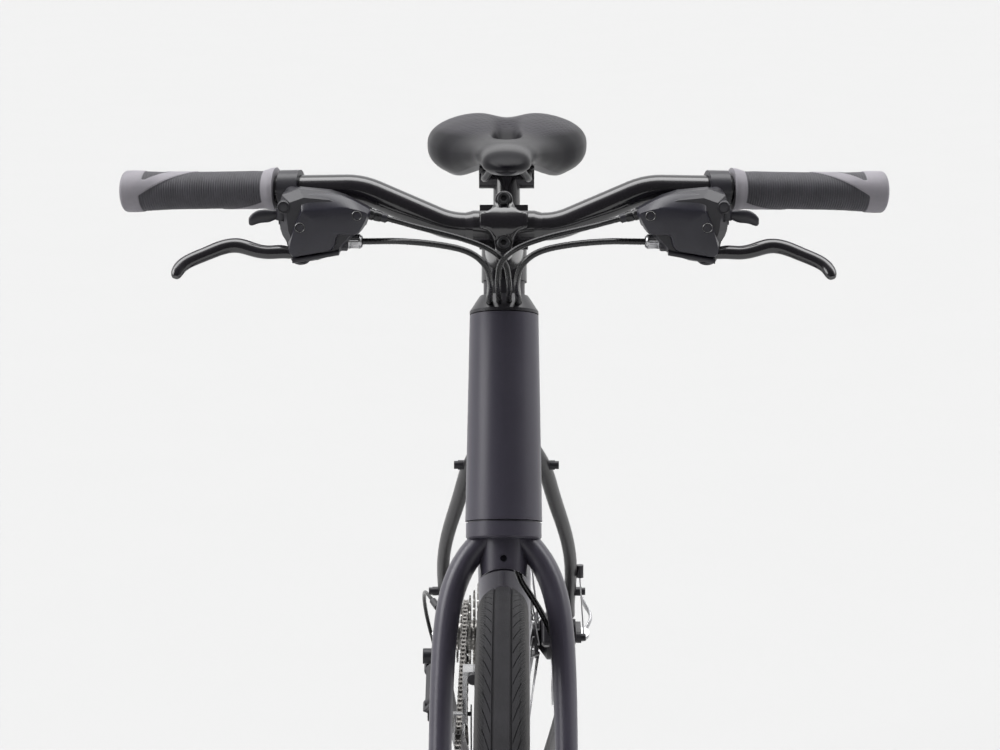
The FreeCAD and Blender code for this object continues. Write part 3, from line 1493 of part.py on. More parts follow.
# A toothed disc about the origin, in the plane of the wheel, with one valley at the phase angle
def toothed_disc(teeth, phase, thickness):
    radius = pitch_radius(teeth)
    step = 2 * math.pi / teeth
    valley = roller_radius + roller_clearance
    spread = math.radians(valley_half_angle)
    tip_radius = radius + tooth_rise
    tip_turn = tooth_tip_half / tip_radius

    def at(distance, angle):
        return point(-thickness * half, distance * math.cos(angle), distance * math.sin(angle))

    def on_valley(angle, turn):
        heading = angle + math.pi + turn
        return at(radius, angle) + point(0, math.cos(heading), math.sin(heading)) * valley

    edges = []
    for index in range(teeth):
        angle = phase + index * step
        flank = on_valley(angle, -spread)
        first_tip = at(tip_radius, angle + step * half - tip_turn)
        last_tip = at(tip_radius, angle + step * half + tip_turn)
        edges.append(Part.Arc(on_valley(angle, spread), on_valley(angle, 0), flank).toShape())
        edges.append(Part.LineSegment(flank, first_tip).toShape())
        edges.append(Part.LineSegment(first_tip, last_tip).toShape())
        edges.append(Part.LineSegment(last_tip, on_valley(angle + step, spread)).toShape())
    return Part.Face(Part.Wire(edges)).extrude(across * thickness)


# Chain route over the ring, the cog and the two pulleys, counted in pitches
guide_pulley_place = rear_axle + point(-chain_line, -guide_lead, -guide_drop)


def tension_pulley_place(cage_angle):
    turn = math.radians(cage_angle) + math.pi
    return guide_pulley_place + point(0, math.cos(turn), math.sin(turn)) * cage_reach


def chain_stretches(cage_angle):
    stops = [(bottom_bracket, big_ring_teeth, 1), (rear_axle, cog_teeth[cog_in_use], 1),
             (guide_pulley_place, pulley_teeth, -1), (tension_pulley_place(cage_angle), pulley_teeth, 1)]
    headings = []
    for index, (centre, teeth, sense) in enumerate(stops):
        after, after_teeth, after_sense = stops[(index + 1) % len(stops)]
        gap = math.hypot(after.y - centre.y, after.z - centre.z)
        lean = math.asin((after_sense * pitch_radius(after_teeth) - sense * pitch_radius(teeth)) / gap)
        headings.append(math.atan2(after.z - centre.z, after.y - centre.y) + lean)
    stretches = []
    for index, (centre, teeth, sense) in enumerate(stops):
        after, after_teeth, after_sense = stops[(index + 1) % len(stops)]
        arriving = headings[index - 1]
        leaving = headings[index]
        sweep = (sense * (arriving - leaving)) % (2 * math.pi)
        stretches.append(("arc", centre, teeth, sense, arriving, sweep * teeth / (2 * math.pi)))
        normal = point(0, -math.sin(leaving), math.cos(leaving))
        start = centre + normal * (sense * pitch_radius(teeth))
        end = after + normal * (after_sense * pitch_radius(after_teeth))
        run = point(0, end.y - start.y, end.z - start.z)
        stretches.append(("run", start, run, None, None, run.Length / chain_pitch))
    return stretches


def chain_pitches(cage_angle):
    return sum(stretch[-1] for stretch in chain_stretches(cage_angle))


# The cage angle that closes the chain on a whole, even number of links
def solve_cage():
    low = cage_angle_low
    high = cage_angle_high
    links = 2 * round(chain_pitches((low + high) * half) * half)
    for step in range(cage_steps):
        middle = (low + high) * half
        if chain_pitches(middle) < links:
            low = middle
        else:
            high = middle
    return middle, links


cage_angle, chain_links = solve_cage()
tension_pulley_centre = tension_pulley_place(cage_angle)


def chain_place(count):
    for kind, base, second, sense, arriving, pitches in chain_stretches(cage_angle):
        if count <= pitches:
            break
        count -= pitches
    if kind == "run":
        return point(-chain_line, base.y, base.z) + second * (count / pitches)
    turn = arriving - sense * count * 2 * math.pi / second + sense * math.pi * half
    return point(-chain_line, base.y, base.z) + point(0, math.cos(turn),
                                                      math.sin(turn)) * pitch_radius(second)


# Angle of a roller lying on a toothed wheel, to set its teeth in mesh
def mesh_phase(index):
    passed = sum(stretch[-1] for stretch in chain_stretches(cage_angle)[:index * 2])
    centre = chain_stretches(cage_angle)[index * 2][1]
    roller = chain_place(math.ceil(passed))
    return math.atan2(roller.z - centre.z, roller.y - centre.y)


# Chain of inner links with rollers and outer links with pins
def chain():
    end_turn = math.radians(valley_half_angle)
    edge_y = plate_radius * math.cos(end_turn)
    edge_z = plate_radius * math.sin(end_turn)
    middle = chain_pitch * half

    def plate(first_x, last_x):
        def at(y, z):
            return point(first_x, y, z)
        edges = [Part.Arc(at(edge_y, edge_z), at(-plate_radius, 0), at(edge_y, -edge_z)),
                 Part.Arc(at(edge_y, -edge_z), at(middle, -plate_waist), at(chain_pitch - edge_y, -edge_z)),
                 Part.Arc(at(chain_pitch - edge_y, -edge_z), at(chain_pitch + plate_radius, 0),
                          at(chain_pitch - edge_y, edge_z)),
                 Part.Arc(at(chain_pitch - edge_y, edge_z), at(middle, plate_waist), at(edge_y, edge_z))]
        return Part.Face(Part.Wire([edge.toShape() for edge in edges])).extrude(across * (last_x - first_x))

    inner_out = inner_plate_half + plate_thickness
    outer_in = inner_out + plate_gap
    outer_out = outer_in + plate_thickness
    ends = [origin, point(0, chain_pitch, 0)]
    rollers = [rod(end - across * inner_plate_half, end + across * inner_plate_half,
                   roller_radius) for end in ends]
    holes = [rod(end - across * inner_out * 2, end + across * inner_out * 2,
                 pin_radius + running_gap) for end in ends]
    pins = [rod(end - across * pin_half, end + across * pin_half, pin_radius) for end in ends]
    inner_link = plate(inner_plate_half, inner_out).fuse([plate(-inner_out, -inner_plate_half)] + rollers)
    inner_link = inner_link.cut(Part.makeCompound(holes))
    outer_link = plate(outer_in, outer_out).fuse([plate(-outer_out, -outer_in)] + pins)
    inner_link = largest(inner_link)
    outer_link = largest(outer_link)
    links = []
    for index in range(chain_links):
        start = chain_place(index)
        way = (chain_place((index + 1) % chain_links) - start).normalize()
        link = outer_link if index % 2 else inner_link
        links.append(carried(link, start, across, way, across.cross(way)))
    return links


# Cassette: toothed cogs on a core, with the lock ring outside
def cassette():
    outer_side = chain_line + cog_in_use * cog_spacing + cog_thickness * half
    inner_side = chain_line - (len(cog_teeth) - 1 - cog_in_use) * cog_spacing - cog_thickness * half
    core_start = rear_axle - across * (outer_side + cog_lock_ring)
    core_end = rear_axle - across * inner_side
    solids = [ring(core_start, core_end, cog_core_radius, cog_bore)]
    hole = rod(across * -overrun, across * overrun, cog_core_radius)
    for index, teeth in enumerate(cog_teeth):
        phase = mesh_phase(1) if index == cog_in_use else 0
        cog = toothed_disc(teeth, phase, cog_thickness).cut(hole)
        cog.translate(rear_axle - across * (chain_line + (cog_in_use - index) * cog_spacing))
        solids.append(cog)
    return solids


# Two chainrings with windows, and the bolts that hold them to the spider with their spacers
def chainrings():
    big = toothed_disc(big_ring_teeth, mesh_phase(0), ring_thickness)
    small = toothed_disc(small_ring_teeth, 0, ring_thickness)
    hole = rod(across * -overrun, across * overrun, ring_bore)
    big = big.cut(hole)
    small = small.cut(hole)
    span = math.radians(ring_window_angle)
    bolt_in = -ring_spacing - ring_thickness * half
    spider_face = ring_thickness * half
    outline = [(0, bolt_in - cup_flange), (ring_bolt_head, bolt_in - cup_flange), (ring_bolt_head, bolt_in),
               (ring_bolt_radius, bolt_in), (ring_bolt_radius, bolt_in + ring_thickness),
               (ring_bolt_collar, bolt_in + ring_thickness), (ring_bolt_collar, -spider_face),
               (ring_bolt_radius, -spider_face), (ring_bolt_radius, spider_face + spider_thickness),
               (ring_bolt_head, spider_face + spider_thickness),
               (ring_bolt_head, spider_face + spider_thickness + cup_flange),
               (0, spider_face + spider_thickness + cup_flange)]
    solids = []
    for index in range(ring_bolts):
        angle = spider_turn + 2 * math.pi * index / ring_bolts
        between = angle + math.pi / ring_bolts
        bolt_place = point(0, math.cos(angle), math.sin(angle)) * ring_bolt_circle
        bolt_hole = rod(bolt_place - across * overrun, bolt_place + across * overrun, ring_bolt_radius)
        big = big.cut(bolt_hole).cut(window(between, span))
        small = small.cut(bolt_hole)
        solids.append(lathe(outline, ring_centre + bolt_place, across * -1))
    big.translate(ring_centre)
    small.translate(ring_centre + across * ring_spacing)
    return [big, small] + solids


# A window in the big ring, between two arcs and two radii
def window(middle, span):
    def at(radius, turn):
        return point(-overrun, radius * math.cos(middle + turn * half),
                     radius * math.sin(middle + turn * half))
    edges = [Part.Arc(at(ring_window_outer, -span), at(ring_window_outer, 0), at(ring_window_outer, span)),
             Part.LineSegment(at(ring_window_outer, span), at(ring_window_inner, span)),
             Part.Arc(at(ring_window_inner, span), at(ring_window_inner, 0), at(ring_window_inner, -span)),
             Part.LineSegment(at(ring_window_inner, -span), at(ring_window_outer, -span))]
    return Part.Face(Part.Wire([edge.toShape() for edge in edges])).extrude(across * (2 * overrun))


ring_centre = bottom_bracket - across * chain_line
spider_turn = math.pi / ring_bolts
right_pedal_place = bottom_bracket - point(0, crank_length, 0)
left_pedal_place = bottom_bracket + point(0, crank_length, 0)


# One crank arm on the left, reaching forward or back, with its spindle and pedal eyes
def crank_arm(reach_way):
    tip = bottom_bracket + reach_way * crank_length
    root_place = bottom_bracket + across * crank_root_x
    tip_place = tip + across * crank_tip_x
    arm = Part.makeLoft([oval(root_place, reach_way, across, crank_half_wide, crank_root_half_tall),
                         oval(tip_place, reach_way, across, crank_half_wide, crank_tip_half_tall)], True)
    boss = rod(bottom_bracket + across * crank_boss_inner, bottom_bracket + across * crank_boss_outer,
               crank_boss_radius)
    eye = rod(tip_place - across * crank_half_wide, tip_place + across * crank_half_wide, crank_eye_radius)
    return arm.fuse([boss, eye])


# Both crank arms with the spider, the spindle, the crank bolts and the pedal axles
def crankset():
    spindle = rod(bottom_bracket - across * spindle_half, bottom_bracket + across * spindle_half,
                  spindle_radius)
    axle_root = crank_tip_x - crank_half_wide
    axle_tip = crank_tip_x + crank_half_wide + pedal_gap + pedal_width - pedal_end
    left_axle = rod(left_pedal_place + across * axle_root, left_pedal_place + across * axle_tip,
                    pedal_axle_radius)
    right_axle = rod(right_pedal_place - across * axle_root, right_pedal_place - across * axle_tip,
                     pedal_axle_radius)
    left = crank_arm(point(0, 1, 0))
    right = mirrored(crank_arm(point(0, -1, 0)))
    spider_in = -chain_line - ring_thickness * half
    for index in range(ring_bolts):
        angle = spider_turn + 2 * math.pi * index / ring_bolts
        bolt_place = bottom_bracket + point(0, math.cos(angle), math.sin(angle)) * ring_bolt_circle
        arm = link_plate(bottom_bracket, bolt_place, spider_root_radius, spider_radius,
                         spider_in - spider_thickness, spider_in)
        right = right.fuse(arm)
        right = right.cut(rod(bolt_place - across * crank_tip_x, bolt_place, ring_bolt_radius))
    left = largest(left.cut(spindle).cut(left_axle))
    right = largest(right.removeSplitter().cut(spindle).cut(right_axle))
    solids = [right, left, spindle, left_axle, right_axle]
    for side in (-1, 1):
        seat = bottom_bracket + across * (side * crank_boss_outer)
        solids.append(rod(seat, seat + across * (side * crank_bolt_height), crank_bolt_radius))
    return solids


# Platform pedal on the left: barrel, ribs and an open frame with notched rails
def pedal(place):
    start_x = crank_tip_x + crank_half_wide + pedal_gap
    low = place + point(start_x, -pedal_length * half, -pedal_height * half)
    high = place + point(start_x + pedal_width, pedal_length * half, pedal_height * half)
    body = block(low, high)
    inner_low = point(low.x + pedal_end, low.y + pedal_rail, low.z - overrun)
    inner_high = point(high.x - pedal_end, high.y - pedal_rail, high.z + overrun)
    body = body.cut(block(inner_low, inner_high))
    barrel = rod(place + across * start_x, place + across * (start_x + pedal_width), pedal_barrel)
    rib_x = start_x + pedal_width * half
    rib = block(point(rib_x - pedal_end * half, low.y, -pedal_barrel * half + place.z),
                point(rib_x + pedal_end * half, high.y, pedal_barrel * half + place.z))
    body = body.fuse([barrel, rib])
    notches = []
    for index in range(pedal_notches):
        notch_x = low.x + pedal_width * (index + half) / pedal_notches
        for top in (low.z, high.z):
            notches.append(rod(point(notch_x, low.y - overrun, top), point(notch_x, low.y + pedal_rail, top),
                               pedal_notch_radius))
            notches.append(rod(point(notch_x, high.y - pedal_rail, top),
                               point(notch_x, high.y + overrun, top),
                               pedal_notch_radius))
    body = body.cut(Part.makeCompound(notches))
    axle = rod(place, place + across * (start_x + pedal_width - pedal_end + touch_gap),
               pedal_axle_radius + running_gap)
    return largest(body.cut(axle))


mech_pin_place = seat_point(-mech_pin_x, mech_pin_back, band_place)
mech_way = point(0, 1, 0)


# Front derailleur band on the seat tube, with the lug and pin that the cage swings on
def front_mech_band():
    half_tall = seat_up * (band_height * half)
    band = ring(seat_point(0, 0, band_place) - half_tall, seat_point(0, 0, band_place) + half_tall,
                seat_tube_radius + band_wall, seat_tube_radius)
    lug_back = mech_pin_place - mech_way * (mech_pin_length * half)
    lug = rod(lug_back - mech_way * mech_lug, lug_back, mech_knuckle_radius)
    lug_mid = lug_back - mech_way * (mech_lug * half)
    arm = rod(lug_mid, lug_mid + across * mech_pin_x, mech_lug * half)
    core = rod(seat_point(0, 0, 0), seat_point(0, 0, seat_tube_length), seat_tube_radius)
    pin = rod(lug_back, lug_back + mech_way * mech_pin_length, mech_pin_radius)
    return largest(band.fuse([lug, arm, pin]).cut(core))


# Front derailleur cage: two curved plates over the chain, joined at the tail and hung from the pin
def front_mech_cage():
    low_radius = pitch_radius(big_ring_teeth) + tooth_rise + cage_low_radius_gap
    high_radius = low_radius + cage_depth

    def sector(first_x, last_x, front, back, inner, outer):
        def at(radius, angle):
            turn = math.radians(quarter_turn - angle)
            return point(first_x, bottom_bracket.y + radius * math.cos(turn),
                         bottom_bracket.z + radius * math.sin(turn))
        mid = (front + back) * half
        edges = [Part.Arc(at(inner, front), at(inner, mid), at(inner, back)),
                 Part.LineSegment(at(inner, back), at(outer, back)),
                 Part.Arc(at(outer, back), at(outer, mid), at(outer, front)),
                 Part.LineSegment(at(outer, front), at(inner, front))]
        return Part.Face(Part.Wire([edge.toShape() for edge in edges])).extrude(across * (last_x - first_x))

    inner_x = -chain_line + cage_inner_gap
    outer_x = -chain_line - cage_outer_gap
    cage = sector(inner_x, inner_x + cage_sheet, cage_front_angle, cage_back_angle, low_radius, high_radius)
    cage = cage.fuse(sector(outer_x - cage_sheet, outer_x, cage_front_angle, cage_back_angle, low_radius,
                            high_radius))
    cage = cage.fuse(sector(outer_x - cage_sheet, inner_x + cage_sheet, cage_front_angle,
                            cage_back_angle * half,
                            high_radius - cage_sheet, high_radius))
    knuckle_start = mech_pin_place - mech_way * (mech_pin_length * half - touch_gap)
    knuckle_end = mech_pin_place + mech_way * (mech_pin_length * half)
    knuckle = rod(knuckle_start, knuckle_end, mech_knuckle_radius)
    web = block(point(inner_x, knuckle_start.y, bottom_bracket.z + high_radius - cage_depth),
                point(inner_x + cage_bridge, knuckle_end.y, mech_pin_place.z + mech_knuckle_radius))
    hinge = block(point(inner_x, knuckle_start.y, mech_pin_place.z - mech_knuckle_radius),
                  point(-mech_pin_x, knuckle_end.y, mech_pin_place.z + mech_knuckle_radius))
    hole = rod(knuckle_start - mech_way * overrun, knuckle_end + mech_way * overrun,
               mech_pin_radius + running_gap)
    return largest(cage.fuse([knuckle, web, hinge]).cut(hole))


# Rear derailleur directions: along its links, across them as they swing, and along their pins
slope = math.radians(link_slope)
slant = math.radians(link_slant)
link_way = point(0, -math.cos(slope), -math.sin(slope))
swing_way = across * math.cos(slant) + point(0, math.sin(slope), -math.cos(slope)) * math.sin(slant)
pin_way = link_way.cross(swing_way)
body_pivot = guide_pulley_place - link_way * link_overhang + across * (chain_line - link_side)
knuckle_pivot = body_pivot - link_way * link_length


# A forked end that holds a link pin: two cheeks and a back, in link directions
def link_fork(pivot, sign):
    inner = link_half_tall + touch_gap
    outer = inner + knuckle_cheek
    back_near = link_half_wide + touch_gap * 2
    back_far = back_near + knuckle_cheek
    solids = [Part.makeCylinder(link_half_wide, knuckle_cheek, point(0, 0, low)) for low in (-outer, inner)]
    for low in (-outer, inner):
        solids.append(block(point(min(0, sign * back_far), -link_half_wide, low),
                            point(max(0, sign * back_far), link_half_wide, low + knuckle_cheek)))
    solids.append(block(point(min(sign * back_near, sign * back_far), -link_half_wide, -outer),
                        point(max(sign * back_near, sign * back_far), link_half_wide, outer)))
    solids.append(Part.makeCylinder(link_pin_radius, outer * 2, point(0, 0, -outer)))
    fork = solids[0].fuse(solids[1:])
    return carried(fork, pivot, link_way, swing_way, pin_way)


# Space that the link needs as it swings about its upper pin
def link_rooms():
    wide = link_half_wide + touch_gap
    tall = link_half_tall + touch_gap
    rooms = []
    for angle in link_room_angles:
        room = block(point(0, -wide, -tall), point(link_length, wide, tall))
        room = carried(room, knuckle_pivot, link_way, swing_way, pin_way)
        room.rotate(knuckle_pivot, pin_way, angle)
        rooms.append(room)
    return rooms


# Upper knuckle on the hanger bolt, with the fork for the links
def rear_mech_knuckle(right_dropout):
    face = rear_hub_width * half + dropout_thickness
    bolt_start = hanger - across * face
    barrel = rod(bolt_start, bolt_start - across * knuckle_length, knuckle_radius)
    fork = link_fork(knuckle_pivot, -1)
    back = knuckle_pivot - link_way * (link_half_wide + knuckle_cheek * half)
    arm = rod(bolt_start - across * (knuckle_length * half), back, link_half_wide)
    core = rod(knuckle_pivot - pin_way * (link_half_tall + touch_gap),
               knuckle_pivot + pin_way * (link_half_tall + touch_gap),
               link_half_wide + touch_gap * 2)
    pin = rod(knuckle_pivot - pin_way * link_half_tall, knuckle_pivot + pin_way * link_half_tall,
              link_pin_radius)
    adjuster = rod(barrel.CenterOfMass, barrel.CenterOfMass + mech_way * (knuckle_radius + adjuster_length),
                   adjuster_radius)
    solid = barrel.fuse(arm.cut(core)).cut(link_rooms())
    return largest(solid.fuse([fork, adjuster, pin]).cut(right_dropout))


# The swinging link between the two knuckles
def rear_mech_link():
    bar = block(point(0, -link_half_wide, -link_half_tall),
                point(link_length, link_half_wide, link_half_tall))
    for place in (0, link_length):
        bar = bar.fuse(Part.makeCylinder(link_half_wide, link_half_tall * 2,
                                         point(place, 0, -link_half_tall)))
    for place in (0, link_length):
        bar = bar.cut(Part.makeCylinder(link_pin_radius + running_gap, link_half_tall * 3,
                                        point(place, 0, -link_half_tall * 2)))
    return carried(bar.removeSplitter(), knuckle_pivot, link_way, swing_way, pin_way)


# Lower knuckle: the fork for the links and the barrel that the cage turns in
def rear_mech_body():
    fork = link_fork(body_pivot, 1)
    cage_face = guide_pulley_place - across * (cage_plate_half + touch_gap)
    outer_face = guide_pulley_place + across * (chain_line - link_side - link_half_wide)
    barrel = rod(cage_face, outer_face, knuckle_radius - touch_gap * 2)
    stub = rod(cage_face + across * overrun, (cage_face + outer_face) * half, cage_stub_radius + running_gap)
    room = rod(body_pivot - pin_way * (link_half_tall + touch_gap),
               body_pivot + pin_way * (link_half_tall + touch_gap),
               link_half_wide + touch_gap * 2)
    pin = rod(body_pivot - pin_way * link_half_tall, body_pivot + pin_way * link_half_tall, link_pin_radius)
    return largest(barrel.cut(room).fuse([fork, pin]).cut(stub))


# Pulley cage: two plates, the pulley bolts and the stub that turns in the lower knuckle
def rear_mech_cage():
    solids = []
    for first_x in (-cage_plate_half, cage_plate_half - cage_sheet):
        solids.append(link_plate(guide_pulley_place, tension_pulley_centre, cage_plate_radius,
                                 cage_plate_radius,
                                 -chain_line + first_x, -chain_line + first_x + cage_sheet))
    for centre in (guide_pulley_place, tension_pulley_centre):
        solids.append(rod(centre - across * cage_plate_half, centre + across * cage_plate_half,
                          pulley_bolt_radius))
    cage_face = guide_pulley_place - across * cage_plate_half
    outer_face = guide_pulley_place + across * (chain_line - link_side - link_half_wide)
    solids.append(rod(cage_face, (cage_face + outer_face) * half + across * touch_gap, cage_stub_radius))
    return solids[0].fuse(solids[1:])


# Toothed pulley on its bolt
def pulley(centre, phase):
    wheel = toothed_disc(pulley_teeth, phase, pulley_thickness)
    wheel = wheel.fuse(rod(across * -pulley_hub_half, across * pulley_hub_half, pulley_hub_radius))
    wheel = wheel.cut(rod(across * -overrun, across * overrun, pulley_bolt_radius + running_gap))
    wheel.translate(centre)
    return wheel


# Caliper body astride the rotor, with pads and mount bolts, and the place and way of its arm
def caliper(axle, rotor_x, inset, angle):
    turn = math.radians(angle)
    out_way = point(0, math.cos(turn), math.sin(turn))
    side_way = out_way.cross(across)
    centre = axle + across * rotor_x + out_way * caliper_radius
    body = block(point(-caliper_inboard, -caliper_half_long, -caliper_half_tall),
                 point(inset - touch_gap, caliper_half_long, caliper_half_tall))
    body = body.makeFillet(caliper_edge, body.Edges)
    ear_half = caliper_mount_half + caliper_mount_radius * half
    ears = block(point(inset - caliper_ear, -ear_half, -caliper_ear_drop),
                 point(inset, ear_half, -caliper_half_tall * half))
    boss = rod(origin, across * (inset + caliper_boss_length), caliper_boss_radius)
    slot = block(point(-caliper_slot_half, -caliper_half_long - overrun, -caliper_ear_drop - overrun),
                 point(caliper_slot_half, caliper_half_long + overrun,
                       rotor_radius - caliper_radius + pad_gap * overrun))
    body = body.fuse([ears, boss]).cut(slot)
    solids = [carried(largest(body), centre, across, side_way, out_way)]
    rotor_face = rotor_thickness * half + pad_gap
    for low, high in ((rotor_face, caliper_slot_half), (-caliper_slot_half, -rotor_face)):
        pad = block(point(low, -pad_half_long, -pad_half_tall), point(high, pad_half_long, pad_half_tall))
        solids.append(carried(pad, centre, across, side_way, out_way))
    for place in mount_places(axle, angle):
        seat = place + across * (rotor_x + inset + dropout_thickness)
        solids.append(rod(seat, seat + across * caliper_bolt_height, caliper_bolt_radius))
    return solids, centre + across * (inset + caliper_boss_length + touch_gap)


# Caliper arm with its cable anchor
def caliper_arm(pivot, angle):
    turn = math.radians(angle)
    tip = pivot + point(0, math.cos(turn), math.sin(turn)) * arm_reach
    arm = link_plate(pivot, tip, arm_hub_radius, arm_tip_radius, pivot.x, pivot.x + arm_thickness)
    anchor = rod(tip + across * (pivot.x + arm_thickness - tip.x),
                 tip + across * (arm_thickness + arm_anchor_height),
                 arm_anchor_radius)
    return arm.fuse(anchor), tip + across * (arm_thickness + arm_anchor_height * half)


def pair(shape):
    return [shape, mirrored(shape)]


# The frame body
os.makedirs("parts", exist_ok=True)
top_tube, down_tube, seat_tube, shell, seat_core, shell_core, down_core = frame_tubes()
left_dropout = dropout(True)
right_dropout = dropout(False)
left_seat_stay = largest(seat_stay().cut(seat_core).cut(left_dropout))
right_seat_stay = mirrored(largest(seat_stay().cut(seat_core).cut(mirrored(right_dropout))))
left_chain_stay = largest(chain_stay().cut(shell_core).cut(seat_core).cut(left_dropout))
right_chain_stay = mirrored(largest(chain_stay().cut(shell_core).cut(seat_core).cut(mirrored(right_dropout))))
seat_bridge_end = seat_stay_place_at(seat_stay_bridge_share, stay_spread_at(seat_stay_bridge_share))
seat_bridge = rod(seat_bridge_end - across * (seat_bridge_end.x * 2), seat_bridge_end, bridge_radius)
seat_bridge = largest(seat_bridge.cut(left_seat_stay).cut(right_seat_stay))
chain_bridge_end = chain_stay_place_at(chain_stay_bridge_share)
chain_bridge = rod(chain_bridge_end - across * (chain_bridge_end.x * 2), chain_bridge_end, bridge_radius)
chain_bridge = largest(chain_bridge.cut(left_chain_stay).cut(right_chain_stay))
keep("head_tube", [head_tube()])
keep("top_tube", [top_tube])
keep("down_tube", [down_tube])
keep("seat_tube", [seat_tube])
keep("bottom_bracket_shell", [shell])
keep("seat_stays", [left_seat_stay, right_seat_stay, seat_bridge])
keep("chain_stays", [left_chain_stay, right_chain_stay, chain_bridge])
keep("rear_dropouts", [left_dropout, right_dropout])
keep("frame_bearings", frame_bearings())

fittings = seat_collar()
for offset in (-boss_spacing * half, boss_spacing * half):
    fittings.append(bottle_boss(down_boss_foot(offset), down_normal, down_core))
    fittings.append(bottle_boss(seat_boss_foot(offset), -seat_back, seat_core))
for solid in rack_screws(left_seat_stay):
    fittings += pair(solid)
brake_stop = stop_place(rear_stop_share)
shift_port = stop_place(shift_port_share)
stop_rise = upward * stop_half
fittings.append(largest(rod(brake_stop - stop_rise, brake_stop + stop_rise, stop_radius).cut(left_seat_stay)))
shift_port = point(-shift_port.x, shift_port.y, shift_port.z)
port_run = (rear_axle + point(*shift_loop_places[0]) - shift_port).normalize() * stop_half
fittings.append(largest(rod(shift_port - port_run, shift_port + port_run, stop_radius).cut(right_seat_stay)))
keep("frame_fittings", fittings)

# Rear brake, axle and the cables fixed to the frame
rear_rotor_x = rear_hub_width * half - rear_rotor_inset
front_rotor_x = front_hub_width * half - front_rotor_inset
rear_caliper, rear_arm_pivot = caliper(rear_axle, rear_rotor_x, rear_rotor_inset, rear_caliper_angle)
rear_arm, rear_anchor = caliper_arm(rear_arm_pivot, rear_arm_angle)
keep("rear_brake_caliper", rear_caliper)
keep("rear_brake_arm", [rear_arm])
rear_axle_solid, rear_cam, rear_cam_out, rear_cam_pin = axle_set(rear_axle, rear_hub_width,
                                                                 rear_release_angle)
keep("rear_axle", [rear_axle_solid])
keep("rear_quick_release", [release_lever(rear_cam, rear_cam_out, rear_cam_pin)])
keep("derailleur_mounts", [front_mech_band(), rear_mech_knuckle(right_dropout)])
mech_cable_start = bottom_bracket + point(-mech_cable_side, mech_cable_back, mech_cable_rise)
mech_cable_end = mech_pin_place + mech_way * (mech_pin_length * half + mech_cable_gap)
mech_adjuster_end = hanger - across * (rear_hub_width * half + dropout_thickness + knuckle_length * half)
mech_adjuster_end += mech_way * (knuckle_radius + adjuster_length)
shift_loop = [shift_port + port_run]
shift_loop += [rear_axle + point(*place) for place in shift_loop_places]
shift_loop += [mech_adjuster_end + mech_way * cable_lead, mech_adjuster_end]
keep("frame_cables",
     [rod(brake_stop - stop_rise - upward * touch_gap, rear_anchor + upward * (arm_anchor_radius + touch_gap),
                          inner_cable_radius),
                      rod(mech_cable_start, mech_cable_end, inner_cable_radius),
                      bent_bar(shift_loop, shift_housing_radius)])

# The drive
keep("chain", chain())
keep("cassette", cassette())
keep("chainrings", chainrings())
keep("crankset", crankset())
keep("left_pedal", [pedal(left_pedal_place)])
keep("right_pedal", [mirrored(pedal(right_pedal_place))])
keep("front_derailleur_cage", [front_mech_cage()])
keep("rear_derailleur_links", [rear_mech_link()])
keep("rear_derailleur_body", [rear_mech_body()])
keep("rear_derailleur_cage", [rear_mech_cage()])
keep("guide_pulley", [pulley(guide_pulley_place, mesh_phase(2))])
keep("tension_pulley", [pulley(tension_pulley_centre, mesh_phase(3))])

# The wheels
keep("rear_hub", [hub(rear_axle, rear_hub_width, rear_right_flange, rear_left_flange, rear_rotor_x)])
keep("rear_spokes", spokes(rear_axle, rear_right_flange, rear_left_flange))
keep("rear_rim", [rim(rear_axle)])
keep("rear_tyre", [tyre(rear_axle)])
keep("rear_rotor", rotor(rear_axle, rear_rotor_x))
keep("front_hub", [hub(front_axle, front_hub_width, front_right_flange, front_left_flange, front_rotor_x)])
keep("front_spokes", spokes(front_axle, front_right_flange, front_left_flange))
keep("front_rim", [rim(front_axle)])
keep("front_tyre", [tyre(front_axle)])
keep("front_rotor", rotor(front_axle, front_rotor_x))

# The seat
keep("seatpost", seatpost())
keep("saddle_rails", pair(saddle_rail()))
keep("saddle_base", [saddle_base()])
keep("saddle_cover", [saddle_cover()])

# The steering
front_caliper, front_arm_pivot = caliper(front_axle, front_rotor_x, front_rotor_inset, front_caliper_angle)
front_arm, front_anchor = caliper_arm(front_arm_pivot, front_arm_angle)
keep("fork_steerer", [fork_steerer()])
keep("fork_legs", [fork_leg(True), mirrored(fork_leg(False))])
keep("stem", stem())
keep("headset_cover", headset_cover())
keep("handlebar", [handlebar()])
keep("grips", pair(grip()))
controls = control_body()
keep("control_bodies", controls + [mirrored(solid) for solid in controls])
fork_stop = front_anchor + upward * fork_stop_rise
fork_cable_end = front_anchor + upward * (arm_anchor_radius + touch_gap)
housings = [bent_bar(route, radius) for route, radius in control_routes]
housings.append(bent_bar(fork_brake_route + [fork_stop + upward * cable_lead * 2, fork_stop],
                         brake_housing_radius))
housings.append(rod(fork_stop, fork_cable_end, inner_cable_radius))
keep("control_cables", housings)
keep("front_brake_caliper", front_caliper)
keep("front_brake_arm", [front_arm])
front_axle_solid, front_cam, front_cam_out, front_cam_pin = axle_set(front_axle, front_hub_width,
                                                                     front_release_angle)
keep("front_axle", [front_axle_solid])
keep("front_quick_release", [release_lever(front_cam, front_cam_out, front_cam_pin)])
left_lever = brake_lever()
keep("left_brake_lever", [left_lever])
keep("right_brake_lever", [mirrored(left_lever)])
left_thumb = shift_lever(thumb_pivot, thumb_hub_radius, thumb_tip_radius, thumb_reach, thumb_thickness,
                         thumb_angle)
keep("left_thumb_lever", [left_thumb])
keep("right_thumb_lever", [mirrored(left_thumb)])
left_trigger = release_trigger()
keep("left_release_lever", [left_trigger])
keep("right_release_lever", [mirrored(left_trigger)])
